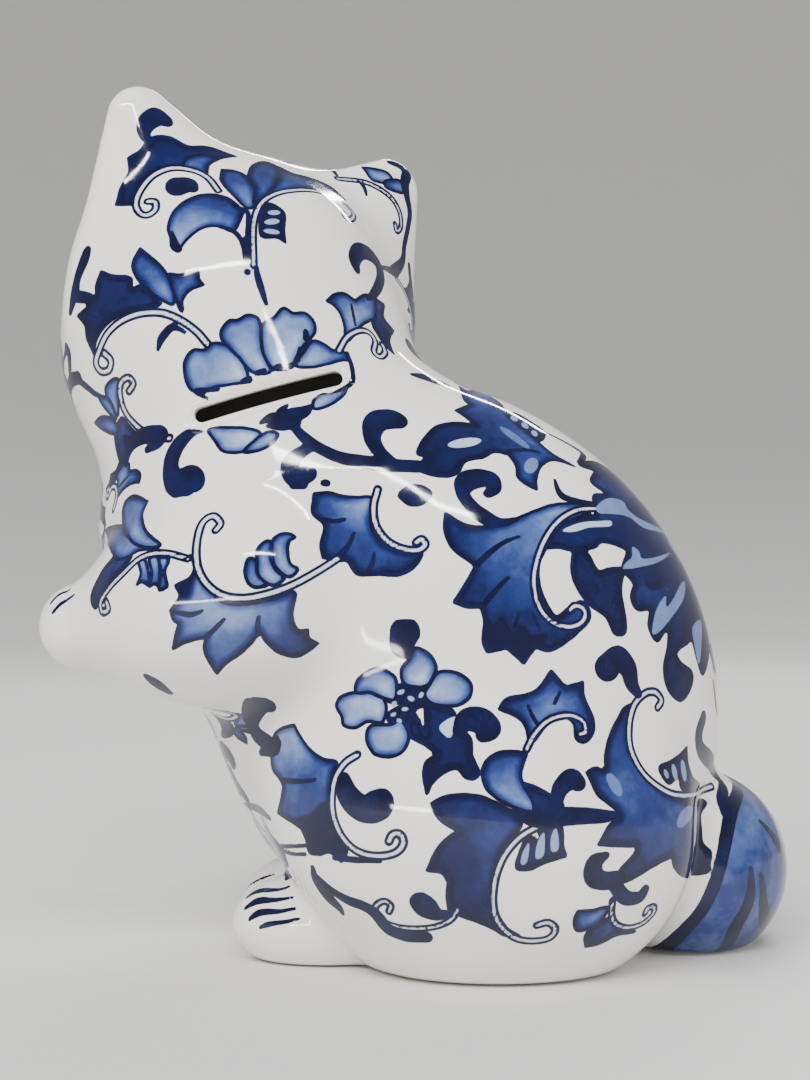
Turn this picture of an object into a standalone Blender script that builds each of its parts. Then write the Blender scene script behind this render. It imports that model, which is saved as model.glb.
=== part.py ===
"""Ceramic cat figurine: a hollow slip-cast cat with a coin slot and a rubber stopper.

Metres, +Z up. The body faces -X and the cat's left side faces -Y.
"""
import math

import bmesh
import bpy
import numpy as np
from mathutils import Matrix, Vector

for old in list(bpy.data.objects):
    bpy.data.objects.remove(old, do_unlink=True)

# ---------------------------------------------------------------- dimensions
WALL = 0.0037             # thickness of the cast wall
CAVITY_FLOOR = 0.0062     # height of the cavity floor above the table
TAIL_WALL = 0.0045        # thickness of the hollow tail's wall
LUTING_GAP = 0.0003       # clearance between neighbouring castings
ORIGIN_SHIFT = (-0.00203, -0.00945)  # moves the finished cat onto the frame's origin

# Torso blobs: centre, radii, tilt in degrees about Y.
RUMP = ((0.0131, 0.0, 0.0533), (0.0589, 0.0450, 0.0536), 3.6)
CHEST = ((-0.0014, 0.0, 0.0877), (0.0632, 0.0420, 0.0478), 17.1)
THIGH_CENTRE = (0.0146, 0.0240, 0.0342)
THIGH_RADII = (0.0486, 0.0300, 0.0386)
THIGH_TILT = 14.8
SEAT = ((0.0140, 0.0, 0.0090), (0.0380, 0.0420, 0.0150))
NECK_BOTTOM = (-0.0348, 0.0040, 0.1050)
NECK_TOP = (-0.0378, 0.0060, 0.1250)
NECK_RADII = (0.0424, 0.0384)

# The head looks away to the cat's right and leans a little.
HEAD_CENTRE = (-0.0434, 0.0080, 0.1447)
HEAD_FACING = 60.0
HEAD_LEAN = 7.7
HEAD_RADII = (0.0419, 0.0350, 0.0452)
CHEEK_OFFSET = (0.0188, 0.0040, -0.0022)
CHEEK_RADII = (0.0195, 0.0260, 0.0200)
MUZZLE_OFFSET = (0.0, 0.0300, -0.0160)
MUZZLE_RADII = (0.0150, 0.0120, 0.0105)
EAR_ROOT = (0.0226, -0.0020, 0.0278)
EAR_TIP = (0.0380, -0.0030, 0.0535)
EAR_RADII = (0.0270, 0.0046)
EAR_FLATNESS = 2.2

# Limbs, written for the right side and mirrored for the left.
SHOULDER = (-0.0360, 0.0270, 0.0840)
ELBOW = (-0.0492, 0.0250, 0.0830)
FOREPAW = (-0.0768, 0.0200, 0.0771)
FORELEG_RADII = (0.0242, 0.0235, 0.0099)
HIND_PAW_CENTRE = (-0.0207, 0.0140, 0.0082)
HIND_PAW_RADII = (0.0223, 0.0125, 0.0124)

# Tail centre line and radii, from the root round to the tip.
TAIL_LINE = (
    ((0.0520, -0.0020, 0.0400), 0.0140),
    ((0.0640, 0.0000, 0.0195), 0.0220),
    ((0.0680, 0.0150, 0.0185), 0.0215),
    ((0.0600, 0.0380, 0.0165), 0.0180),
    ((0.0340, 0.0560, 0.0150), 0.0150),
    ((0.0040, 0.0610, 0.0130), 0.0120),
)

# The seam between the head casting and the body casting.
SEAM_POINT = (-0.0348, 0.0, 0.1160)
SEAM_SLOPE = 18.0

# Coin slot in the nape, with a bevelled surround.
SLOT_CENTRE = (-0.0336, -0.0328, 0.1288)
SLOT_DIRECTION = (0.9546, 0.1093, 0.2772)
SLOT_NORMAL = (0.0, -0.925, 0.380)
SLOT_LENGTH = 0.0345
SLOT_WIDTH = 0.0038
SLOT_BEVEL_WIDTH = 0.0022
SLOT_BEVEL_DEPTH = 0.0012

# Base hole, its shallow round recess, and the stopper that fills it.
HOLE_CENTRE = (0.0140, 0.0)
HOLE_RADIUS = 0.0160
RECESS_RADIUS = 0.0212
RECESS_DEPTH = 0.0024
FLANGE_RADIUS = 0.0195
FLANGE_BOTTOM = 0.0004
FLANGE_TOP = 0.0021
PLUG_RADIUS = 0.0150
PLUG_LIP_RADIUS = 0.0157
PLUG_TOP = 0.0125

# Mesh budgets in triangles.
CORE_TRIANGLES = 4400
CAVITY_TRIANGLES = 1500
FORELEG_TRIANGLES = 480
HIND_PAW_TRIANGLES = 360
TAIL_TRIANGLES = 800
TAIL_CAVITY_TRIANGLES = 260
VOXEL = 0.0025


# ------------------------------------------------------------ distance fields
def turn_about_y(degrees):
    angle = math.radians(degrees)
    c, s = math.cos(angle), math.sin(angle)
    return np.array([[c, 0.0, s], [0.0, 1.0, 0.0], [-s, 0.0, c]])


def head_axes():
    """Columns are the head's own right, forward and up directions."""
    angle = math.radians(HEAD_FACING)
    lean = math.radians(HEAD_LEAN)
    forward = np.array([-math.cos(angle), math.sin(angle), 0.0])
    side = np.array([math.sin(angle), math.cos(angle), 0.0])
    up = np.array([0.0, 0.0, 1.0])
    right = side * math.cos(lean) - up * math.sin(lean)
    crown = up * math.cos(lean) + side * math.sin(lean)
    return np.stack([right, forward, crown], axis=1)


HEAD_AXES = head_axes()


def head_point(right, forward, up):
    return np.array(HEAD_CENTRE) + HEAD_AXES @ np.array([right, forward, up])


def ellipsoid(p, centre, radii, axes):
    q = (p - np.array(centre)) @ axes
    r = np.array(radii)
    k0 = np.linalg.norm(q / r, axis=1) + 1e-9
    k1 = np.linalg.norm(q / (r * r), axis=1) + 1e-9
    return k0 * (k0 - 1.0) / k1


def round_cone(p, start, end, r_start, r_end, flat_axis=None, flatness=1.0):
    start = np.array(start)
    line = np.array(end) - start
    q = p - start
    t = np.clip(q @ line / (line @ line), 0.0, 1.0)
    off = q - t[:, None] * line
    if flat_axis is not None:
        off = off + np.outer((off @ flat_axis) * (flatness - 1.0), flat_axis)
    reach = np.linalg.norm(off, axis=1) - (r_start + t * (r_end - r_start))
    return reach / (0.5 * (1.0 + flatness))


def blend(a, b, width):
    """Union of two fields with a fillet about as wide as `width`."""
    h = np.clip(0.5 + 0.5 * (b - a) / width, 0.0, 1.0)
    return b + (a - b) * h - width * h * (1.0 - h)


def mirrored(point, side):
    return (point[0], point[1] * side, point[2])


def core_field(p):
    """Torso, thighs, neck, head and ears: the main hollow form."""
    torso = blend(
        ellipsoid(p, RUMP[0], RUMP[1], turn_about_y(RUMP[2])),
        ellipsoid(p, CHEST[0], CHEST[1], turn_about_y(CHEST[2])),
        0.022,
    )
    lean = turn_about_y(THIGH_TILT)
    thighs = blend(
        ellipsoid(p, mirrored(THIGH_CENTRE, -1), THIGH_RADII, lean),
        ellipsoid(p, THIGH_CENTRE, THIGH_RADII, lean),
        0.006,
    )
    torso = blend(torso, thighs, 0.008)
    torso = blend(torso, ellipsoid(p, SEAT[0], SEAT[1], np.eye(3)), 0.008)
    neck = round_cone(p, NECK_BOTTOM, NECK_TOP, NECK_RADII[0], NECK_RADII[1])
    head = ellipsoid(p, HEAD_CENTRE, HEAD_RADII, HEAD_AXES)
    for side in (-1, 1):
        x, y, z = CHEEK_OFFSET
        cheek = ellipsoid(p, head_point(x * side, y, z), CHEEK_RADII, HEAD_AXES)
        head = blend(head, cheek, 0.014)
        ear = round_cone(p, *ear_line(side), *EAR_RADII, HEAD_AXES[:, 1], EAR_FLATNESS)
        head = blend(head, ear, 0.009)
    muzzle = ellipsoid(p, head_point(*MUZZLE_OFFSET), MUZZLE_RADII, HEAD_AXES)
    head = blend(head, muzzle, 0.008)
    return blend(blend(torso, neck, 0.016), head, 0.007)


def cavity_field(p):
    """The inside of the cast wall, with a rounded floor over the base."""
    wall = core_field(p) + WALL
    floor = CAVITY_FLOOR - p[:, 2]
    return -blend(-wall, -floor, 0.005)


def ear_line(side):
    root = head_point(EAR_ROOT[0] * side, EAR_ROOT[1], EAR_ROOT[2])
    tip = head_point(EAR_TIP[0] * side, EAR_TIP[1], EAR_TIP[2])
    return root, tip


def foreleg_field(p, side):
    shoulder, elbow, paw = [mirrored(q, side) for q in (SHOULDER, ELBOW, FOREPAW)]
    r_shoulder, r_elbow, r_paw = FORELEG_RADII
    upper = round_cone(p, shoulder, elbow, r_shoulder, r_elbow)
    lower = round_cone(p, elbow, paw, r_elbow - 0.001, r_paw)
    return blend(upper, lower, 0.006)


def hind_paw_field(p, side):
    return ellipsoid(p, mirrored(HIND_PAW_CENTRE, side), HIND_PAW_RADII, np.eye(3))


def tail_field(p):
    total = None
    for (a, ra), (b, rb) in zip(TAIL_LINE[:-1], TAIL_LINE[1:]):
        piece = round_cone(p, a, b, ra, rb)
        total = piece if total is None else blend(total, piece, 0.006)
    return total


def tail_cavity_field(p):
    """The hollow of the tail, closed at the tip and over the table."""
    wall = tail_field(p) + TAIL_WALL
    floor = TAIL_WALL - p[:, 2]
    return -blend(-wall, -floor, 0.003)


# ------------------------------------------------------------- starting balls
def ball_chain(start, end, r_start, r_end, count=7):
    start, end = np.array(start), np.array(end)
    balls = []
    for t in np.linspace(0.0, 1.0, count):
        r = r_start + t * (r_end - r_start)
        balls.append((start + t * (end - start), (r, r, r), np.eye(3)))
    return balls


def core_balls():
    balls = [
        (RUMP[0], RUMP[1], turn_about_y(RUMP[2])),
        (CHEST[0], CHEST[1], turn_about_y(CHEST[2])),
        (SEAT[0], SEAT[1], np.eye(3)),
        (HEAD_CENTRE, HEAD_RADII, HEAD_AXES),
        (head_point(*MUZZLE_OFFSET), MUZZLE_RADII, HEAD_AXES),
    ]
    balls += ball_chain(NECK_BOTTOM, NECK_TOP, NECK_RADII[0], NECK_RADII[1])
    for side in (-1, 1):
        lean = turn_about_y(THIGH_TILT)
        balls.append((mirrored(THIGH_CENTRE, side), THIGH_RADII, lean))
        x, y, z = CHEEK_OFFSET
        balls.append((head_point(x * side, y, z), CHEEK_RADII, HEAD_AXES))
        root, tip = ear_line(side)
        for t in np.linspace(0.0, 1.0, 9):
            r = EAR_RADII[0] + t * (EAR_RADII[1] - EAR_RADII[0])
            balls.append((root + t * (tip - root), (r, r / EAR_FLATNESS, r), HEAD_AXES))
    return balls


def shrunken(balls, amount):
    kept = []
    for centre, radii, axes in balls:
        smaller = tuple(r - amount for r in radii)
        if min(smaller) > 0.004:
            kept.append((centre, smaller, axes))
    return kept


# ---------------------------------------------------------------- mesh making
def link(mesh, name):
    obj = bpy.data.objects.new(name, mesh)
    bpy.context.scene.collection.objects.link(obj)
    return obj


def bake(obj):
    """Replace an object's mesh by the result of its modifiers."""
    graph = bpy.context.evaluated_depsgraph_get()
    graph.update()
    mesh = bpy.data.meshes.new_from_object(obj.evaluated_get(graph))
    obj.modifiers.clear()
    old_mesh = obj.data
    obj.data = mesh
    bpy.data.meshes.remove(old_mesh)
    return obj


def points_of(mesh):
    flat = np.empty(len(mesh.vertices) * 3)
    mesh.vertices.foreach_get("co", flat)
    return flat.reshape(-1, 3)


def settle(mesh, field, steps):
    """Move every vertex onto the zero level of a field."""
    p = points_of(mesh)
    reach = 0.0002
    for _ in range(steps):
        slope = np.empty_like(p)
        for axis in range(3):
            shift = np.zeros(3)
            shift[axis] = reach
            slope[:, axis] = (field(p + shift) - field(p - shift)) / (2.0 * reach)
        size = np.maximum((slope * slope).sum(axis=1), 0.2)
        move = field(p)[:, None] * slope / size[:, None]
        length = np.linalg.norm(move, axis=1)[:, None]
        p = p - move * np.minimum(1.0, 0.003 / np.maximum(length, 1e-9))
    mesh.vertices.foreach_set("co", p.ravel())
    mesh.update()


def skin(name, balls, field, triangles):
    """A closed mesh on the zero level of a field, started from blended balls."""
    bm = bmesh.new()
    for centre, radii, axes in balls:
        place = Matrix.Translation(Vector(centre)) @ Matrix(axes.tolist()).to_4x4()
        place = place @ Matrix.Diagonal((*radii, 1.0))
        bmesh.ops.create_uvsphere(bm, u_segments=24, v_segments=16, radius=1.0, matrix=place)
    mesh = bpy.data.meshes.new(name)
    bm.to_mesh(mesh)
    bm.free()
    obj = link(mesh, name)
    remesh = obj.modifiers.new("Remesh", "REMESH")
    remesh.mode = "VOXEL"
    remesh.voxel_size = VOXEL
    bake(obj)
    settle(obj.data, field, 6)
    obj.data.calc_loop_triangles()
    decimate = obj.modifiers.new("Decimate", "DECIMATE")
    decimate.ratio = min(1.0, triangles / len(obj.data.loop_triangles))
    bake(obj)
    settle(obj.data, field, 3)
    return obj


def swollen_copy(obj, name, amount):
    """A copy whose vertices sit `amount` further out along their normals."""
    copy = link(obj.data.copy(), name)
    for vertex in copy.data.vertices:
        vertex.co = vertex.co + vertex.normal * amount
    copy.data.update()
    return copy


def box(name, low, high):
    bm = bmesh.new()
    bmesh.ops.create_cube(bm, size=1.0)
    for vertex in bm.verts:
        for axis in range(3):
            middle = 0.5 * (low[axis] + high[axis])
            vertex.co[axis] = middle + vertex.co[axis] * (high[axis] - low[axis])
    mesh = bpy.data.meshes.new(name)
    bm.to_mesh(mesh)
    bm.free()
    return link(mesh, name)


def lathe(name, profile, centre, segments):
    """A closed profile of (radius, height) pairs turned about a vertical axis."""
    bm = bmesh.new()
    rings = []
    for radius, height in profile:
        if radius < 1e-6:
            rings.append([bm.verts.new((centre[0], centre[1], height))])
            continue
        ring = []
        for k in range(segments):
            angle = 2.0 * math.pi * k / segments
            x = centre[0] + radius * math.cos(angle)
            y = centre[1] + radius * math.sin(angle)
            ring.append(bm.verts.new((x, y, height)))
        rings.append(ring)
    for lower, upper in zip(rings[:-1], rings[1:]):
        for k in range(segments):
            j = (k + 1) % segments
            if len(lower) == 1:
                bm.faces.new((lower[0], upper[j], upper[k]))
            elif len(upper) == 1:
                bm.faces.new((lower[k], lower[j], upper[0]))
            else:
                bm.faces.new((lower[k], lower[j], upper[j], upper[k]))
    bmesh.ops.recalc_face_normals(bm, faces=bm.faces)
    mesh = bpy.data.meshes.new(name)
    bm.to_mesh(mesh)
    bm.free()
    return link(mesh, name)


def cut(obj, tool, operation="DIFFERENCE"):
    boolean = obj.modifiers.new("Cut", "BOOLEAN")
    boolean.operation = operation
    boolean.solver = "EXACT"
    boolean.object = tool
    tool.hide_render = True
    tool.display_type = "WIRE"
    return bake(obj)


def discard(*objects):
    for obj in objects:
        bpy.data.objects.remove(obj, do_unlink=True)


def copy_of(obj, name):
    return link(obj.data.copy(), name)


def largest_piece_only(obj):
    """Drop the loose crumbs a cut can leave, keeping the biggest closed body."""
    bm = bmesh.new()
    bm.from_mesh(obj.data)
    bmesh.ops.remove_doubles(bm, verts=bm.verts, dist=0.00001)
    unseen = set(bm.faces)
    groups = []
    while unseen:
        stack = [unseen.pop()]
        group = []
        while stack:
            face = stack.pop()
            group.append(face)
            for edge in face.edges:
                for other in edge.link_faces:
                    if other in unseen:
                        unseen.discard(other)
                        stack.append(other)
        groups.append(group)
    groups.sort(key=lambda g: sum(f.calc_area() for f in g), reverse=True)
    spare = [face for group in groups[1:] for face in group]
    if spare:
        bmesh.ops.delete(bm, geom=spare, context="FACES")
        loose = [v for v in bm.verts if not v.link_faces]
        bmesh.ops.delete(bm, geom=loose, context="VERTS")
    bm.to_mesh(obj.data)
    bm.free()
    return obj


# ------------------------------------------------------------------ coin slot
def slot_frame():
    normal = Vector(SLOT_NORMAL).normalized()
    along = Vector(SLOT_DIRECTION)
    along = (along - normal * along.dot(normal)).normalized()
    across = normal.cross(along)
    return np.array(along), np.array(across), np.array(normal)


def onto_level(points, direction, level):
    """Slide points along a direction until the core field equals `level`."""
    near = np.full(len(points), -0.012)
    far = np.full(len(points), 0.012)
    for _ in range(40):
        middle = 0.5 * (near + far)
        inside = core_field(points + middle[:, None] * direction) < level
        near = np.where(inside, middle, near)
        far = np.where(inside, far, middle)
    return points + near[:, None] * direction


def slot_outline(half_width):
    """Stations round a slot with rounded ends, each with its spine position."""
    straight = 0.5 * (SLOT_LENGTH - SLOT_WIDTH)
    stations = []
    steps = np.linspace(-straight, straight, 9)
    for u in steps:
        stations.append((u, -half_width, u))
    for angle in np.linspace(-90.0, 90.0, 9)[1:-1]:
        a = math.radians(angle)
        u = straight + half_width * math.cos(a)
        stations.append((u, half_width * math.sin(a), straight))
    for u in steps[::-1]:
        stations.append((u, half_width, u))
    for angle in np.linspace(90.0, 270.0, 9)[1:-1]:
        a = math.radians(angle)
        u = -straight + half_width * math.cos(a)
        stations.append((u, half_width * math.sin(a), -straight))
    return stations


def slot_cutter(name):
    """Bevelled mouth that follows the curved nape, then a straight throat."""
    along, across, normal = slot_frame()
    centre = np.array(SLOT_CENTRE)
    half = 0.5 * SLOT_WIDTH
    rise = 0.0012
    flare = SLOT_BEVEL_WIDTH * (SLOT_BEVEL_DEPTH + rise) / SLOT_BEVEL_DEPTH
    rows = ((half + flare, rise), (half, -SLOT_BEVEL_DEPTH), (half, None))
    bm = bmesh.new()
    loops = []
    spines = []
    for half_width, level in rows:
        stations = slot_outline(half_width)
        flat = [centre + u * along + v * across for u, v, _ in stations]
        middle = [centre + s * along for _, _, s in stations]
        if level is None:
            outer = np.array(flat) - 0.014 * normal
            inner = np.array(middle) - 0.014 * normal
        else:
            outer = onto_level(np.array(flat), normal, level)
            inner = onto_level(np.array(middle), normal, level)
        loops.append([bm.verts.new(p) for p in outer])
        spines.append(inner)
    for upper, lower in zip(loops[:-1], loops[1:]):
        for k in range(len(upper)):
            j = (k + 1) % len(upper)
            bm.faces.new((upper[k], lower[k], lower[j], upper[j]))
    for loop, spine in ((loops[0], spines[0]), (loops[-1], spines[-1])):
        for k in range(len(loop)):
            j = (k + 1) % len(loop)
            corners = [loop[k], loop[j], bm.verts.new(spine[j])]
            if np.linalg.norm(spine[j] - spine[k]) > 1e-7:
                corners.append(bm.verts.new(spine[k]))
            bm.faces.new(corners)
    bmesh.ops.remove_doubles(bm, verts=bm.verts, dist=0.000001)
    bmesh.ops.recalc_face_normals(bm, faces=bm.faces)
    mesh = bpy.data.meshes.new(name)
    bm.to_mesh(mesh)
    bm.free()
    return link(mesh, name)


# ------------------------------------------------------------------ materials
def material(name, colour, roughness):
    mat = bpy.data.materials.new(name)
    mat.use_nodes = True
    shader = mat.node_tree.nodes["Principled BSDF"]
    shader.inputs["Base Color"].default_value = (*colour, 1.0)
    shader.inputs["Roughness"].default_value = roughness
    return mat


def finish(obj, mat, pivot=None):
    """Shift onto the frame, set the origin, shade and paint one node."""
    shift = Vector((ORIGIN_SHIFT[0], ORIGIN_SHIFT[1], 0.0))
    place = Vector((0.0, 0.0, 0.0))
    if pivot is not None:
        place = Vector(pivot) + shift
    for vertex in obj.data.vertices:
        vertex.co = vertex.co + shift - place
    obj.location = place
    obj.data.materials.clear()
    obj.data.materials.append(mat)
    flags = [True] * len(obj.data.polygons)
    obj.data.polygons.foreach_set("use_smooth", flags)
    obj.data.set_sharp_from_angle(angle=math.radians(40.0))
    obj.data.update()


# ------------------------------------------------------------------- assembly
core = skin("core", core_balls(), core_field, CORE_TRIANGLES)
sleeve = swollen_copy(core, "core_sleeve", LUTING_GAP)
cavity = skin("cavity", shrunken(core_balls(), WALL), cavity_field, CAVITY_TRIANGLES)

# Two half-spaces either side of the tilted seam.
SPAN = 0.5
upper_half = box("upper_half", (-SPAN, -SPAN, 0.5 * LUTING_GAP), (SPAN, SPAN, SPAN))
lower_half = box("lower_half", (-SPAN, -SPAN, -SPAN), (SPAN, SPAN, -0.5 * LUTING_GAP))
for half_space in (upper_half, lower_half):
    tilt = Matrix.Rotation(-math.radians(SEAM_SLOPE), 4, "Y")
    half_space.data.transform(Matrix.Translation(Vector(SEAM_POINT)) @ tilt)

table_top = box("table_top", (-SPAN, -SPAN, -0.1), (SPAN, SPAN, 0.0))
base_bore = lathe(
    "base_bore",
    (
        (0.0, -0.010),
        (RECESS_RADIUS + 0.0006, -0.010),
        (RECESS_RADIUS + 0.0006, 0.0),
        (RECESS_RADIUS, RECESS_DEPTH),
        (HOLE_RADIUS, RECESS_DEPTH),
        (HOLE_RADIUS, 0.020),
        (0.0, 0.020),
    ),
    HOLE_CENTRE,
    36,
)
slot_tool = slot_cutter("slot_tool")

body_shell = copy_of(core, "body_shell")
cut(body_shell, lower_half, "INTERSECT")
cut(body_shell, cavity)
cut(body_shell, table_top)
cut(body_shell, base_bore)
largest_piece_only(body_shell)

head_shell = copy_of(core, "head_shell")
cut(head_shell, upper_half, "INTERSECT")
cut(head_shell, cavity)
cut(head_shell, slot_tool)
largest_piece_only(head_shell)

forelegs = []
hind_paws = []
for side, label in ((-1, "left"), (1, "right")):
    shoulder, elbow, paw = [mirrored(q, side) for q in (SHOULDER, ELBOW, FOREPAW)]
    r_shoulder, r_elbow, r_paw = FORELEG_RADII
    balls = ball_chain(shoulder, elbow, r_shoulder, r_elbow)
    balls += ball_chain(elbow, paw, r_elbow - 0.001, r_paw)
    foreleg = skin(
        label + "_foreleg", balls, lambda p, s=side: foreleg_field(p, s), FORELEG_TRIANGLES
    )
    cut(foreleg, sleeve)
    forelegs.append(largest_piece_only(foreleg))

    balls = [(mirrored(HIND_PAW_CENTRE, side), HIND_PAW_RADII, np.eye(3))]
    hind_paw = skin(
        label + "_hind_paw", balls, lambda p, s=side: hind_paw_field(p, s), HIND_PAW_TRIANGLES
    )
    cut(hind_paw, sleeve)
    cut(hind_paw, table_top)
    hind_paws.append(largest_piece_only(hind_paw))

balls = []
for (a, ra), (b, rb) in zip(TAIL_LINE[:-1], TAIL_LINE[1:]):
    balls += ball_chain(a, b, ra, rb)
tail = skin("tail", balls, tail_field, TAIL_TRIANGLES)
tail_cavity = skin(
    "tail_cavity", shrunken(balls, TAIL_WALL), tail_cavity_field, TAIL_CAVITY_TRIANGLES
)
cut(tail, tail_cavity)
cut(tail, sleeve)
cut(tail, table_top)
largest_piece_only(tail)

stopper = lathe(
    "stopper",
    (
        (0.0, 0.0060),
        (0.0085, 0.0060),
        (0.0100, 0.0046),
        (0.0106, FLANGE_BOTTOM + 0.0006),
        (0.0112, FLANGE_BOTTOM),
        (FLANGE_RADIUS - 0.0006, FLANGE_BOTTOM),
        (FLANGE_RADIUS, FLANGE_BOTTOM + 0.0006),
        (FLANGE_RADIUS, FLANGE_TOP - 0.0005),
        (FLANGE_RADIUS - 0.0005, FLANGE_TOP),
        (PLUG_RADIUS + 0.0003, FLANGE_TOP),
        (PLUG_RADIUS, FLANGE_TOP + 0.0004),
        (PLUG_RADIUS, 0.0074),
        (PLUG_LIP_RADIUS, 0.0084),
        (PLUG_LIP_RADIUS, 0.0092),
        (PLUG_RADIUS - 0.0018, PLUG_TOP - 0.0006),
        (PLUG_RADIUS - 0.0026, PLUG_TOP),
        (0.0, PLUG_TOP),
    ),
    HOLE_CENTRE,
    36,
)

discard(core, sleeve, cavity, tail_cavity, upper_half, lower_half)
discard(table_top, base_bore, slot_tool)

# ------------------------------------------------------------------ finishing
finish(body_shell, material("glazed_body", (0.86, 0.84, 0.80), 0.12))
finish(head_shell, material("glazed_head", (0.87, 0.85, 0.81), 0.12))
finish(forelegs[0], material("glazed_left_foreleg", (0.85, 0.84, 0.81), 0.13))
finish(forelegs[1], material("glazed_right_foreleg", (0.85, 0.84, 0.81), 0.13))
finish(hind_paws[0], material("glazed_left_hind_paw", (0.84, 0.83, 0.80), 0.13))
finish(hind_paws[1], material("glazed_right_hind_paw", (0.84, 0.83, 0.80), 0.13))
finish(tail, material("glazed_tail", (0.72, 0.77, 0.84), 0.13))
finish(
    stopper,
    material("soft_rubber", (0.78, 0.77, 0.74), 0.60),
    (HOLE_CENTRE[0], HOLE_CENTRE[1], 0.0),
)
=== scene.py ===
import math

import bmesh
import bpy
import numpy as np
from mathutils import Matrix, Vector


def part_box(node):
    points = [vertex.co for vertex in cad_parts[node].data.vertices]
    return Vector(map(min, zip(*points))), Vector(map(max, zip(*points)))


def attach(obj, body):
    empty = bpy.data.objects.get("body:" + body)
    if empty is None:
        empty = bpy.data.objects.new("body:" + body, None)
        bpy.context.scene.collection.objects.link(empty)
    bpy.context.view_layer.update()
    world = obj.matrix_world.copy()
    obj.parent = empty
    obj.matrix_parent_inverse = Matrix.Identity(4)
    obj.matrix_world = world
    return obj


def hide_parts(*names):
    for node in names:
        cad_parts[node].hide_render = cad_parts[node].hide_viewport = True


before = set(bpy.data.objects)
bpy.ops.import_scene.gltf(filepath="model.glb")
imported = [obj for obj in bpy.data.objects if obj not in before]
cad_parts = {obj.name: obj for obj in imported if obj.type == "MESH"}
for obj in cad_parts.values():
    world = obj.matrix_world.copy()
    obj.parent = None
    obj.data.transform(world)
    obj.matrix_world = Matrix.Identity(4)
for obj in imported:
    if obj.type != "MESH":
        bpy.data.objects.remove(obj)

# Looks of the ceramic cat: one seamless glazed body painted in cobalt, and a rubber stopper.
# Shapes are written in the cat's own design frame in metres; SHIFT carries them to the shared frame.
# The cat is a sum of round shapes, each a signed distance that is negative inside, melted together.
# Painted motifs are written in millimetres on flat drawings, then laid onto the surface.

HOLE_CENTRE = (0.0140, 0.0)
stopper_low, stopper_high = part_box("stopper")
SHIFT = np.array([
    0.5 * (stopper_low[0] + stopper_high[0]) - HOLE_CENTRE[0],
    0.5 * (stopper_low[1] + stopper_high[1]) - HOLE_CENTRE[1],
    0.0,
])

# ------------------------------------------------------------------ the form
WALL = 0.0037
CAVITY_FLOOR = 0.0062
RUMP = ((0.0131, 0.0, 0.0533), (0.0589, 0.0450, 0.0536), 3.6)
CHEST = ((-0.0014, 0.0, 0.0877), (0.0632, 0.0420, 0.0478), 17.1)
THIGH_CENTRE = (0.0146, 0.0240, 0.0342)
THIGH_RADII = (0.0486, 0.0300, 0.0386)
THIGH_TILT = 14.8
SEAT = ((0.0140, 0.0, 0.0090), (0.0380, 0.0420, 0.0150))
NECK_BOTTOM = (-0.0348, 0.0040, 0.1050)
NECK_TOP = (-0.0378, 0.0060, 0.1250)
NECK_RADII = (0.0424, 0.0384)
HEAD_CENTRE = (-0.0434, 0.0080, 0.1447)
HEAD_FACING = 60.0
HEAD_LEAN = 7.7
HEAD_RADII = (0.0419, 0.0350, 0.0452)
CHEEK_OFFSET = (0.0188, 0.0040, -0.0022)
CHEEK_RADII = (0.0195, 0.0260, 0.0200)
MUZZLE_OFFSET = (0.0, 0.0300, -0.0160)
MUZZLE_RADII = (0.0150, 0.0120, 0.0105)
EAR_ROOT = (0.0155, -0.0020, 0.0150)
EAR_TIP = (0.0339, -0.0030, 0.0471)
EAR_RADII = (0.0293, 0.0085)
EAR_FLATNESS = 2.2
SHOULDER = (-0.0360, 0.0270, 0.0840)
ELBOW = (-0.0492, 0.0250, 0.0830)
FOREPAW = (-0.0768, 0.0200, 0.0771)
FORELEG_RADII = (0.0242, 0.0235, 0.0099)
HIND_PAW_CENTRE = (-0.0207, 0.0140, 0.0082)
HIND_PAW_RADII = (0.0223, 0.0125, 0.0124)
TAIL_LINE = (
    ((0.0520, -0.0020, 0.0400), 0.0140),
    ((0.0640, 0.0000, 0.0195), 0.0220),
    ((0.0680, 0.0150, 0.0185), 0.0215),
    ((0.0600, 0.0380, 0.0165), 0.0180),
    ((0.0340, 0.0560, 0.0150), 0.0150),
    ((0.0040, 0.0610, 0.0130), 0.0120),
)
SLOT_CENTRE = np.array([-0.0336, -0.0328, 0.1288])
SLOT_DIRECTION = (0.9546, 0.1093, 0.2772)
SLOT_NORMAL = (0.0, -0.925, 0.380)
SLOT_CUT = np.array([0.0, -1.0, 0.0])
SLOT_LENGTH = 0.0345
SLOT_WIDTH = 0.0038
HOLE_RADIUS = 0.0160
RECESS_RADIUS = 0.0212
RECESS_DEPTH = 0.0024
RECESS_FLARE = 0.0006
SLOT_REACH = 0.0120
BEVEL_WIDTH = 0.0021
BEVEL_DEPTH = 0.0013
LOWER_LEG_STEP = 0.001
TAIL_TRIM = 0.0006

# how widely each shape melts into what it joins
CHEST_BLEND = 0.022
THIGH_MIDDLE_BLEND = 0.006
THIGH_BLEND = 0.008
SEAT_BLEND = 0.008
CHEEK_BLEND = 0.014
EAR_BLEND = 0.009
MUZZLE_BLEND = 0.008
NECK_BLEND = 0.016
HEAD_BLEND = 0.007
ELBOW_BLEND = 0.006
FORELEG_BLEND = 0.007
HIND_PAW_BLEND = 0.003
TAIL_BLEND = 0.003
TABLE_EDGE = 0.0012
CAVITY_EDGE = 0.005

CAT_VOXEL = 0.00064
CAVITY_VOXEL = 0.0020
SETTLE_STEPS = 5
LONGEST_MOVE = 0.003
LEAST_SLOPE = 0.2
SKIN_TOLERANCE = 0.0005
UNDERSIDE = 0.0003


def unit(v):
    return v / np.linalg.norm(v)


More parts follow.
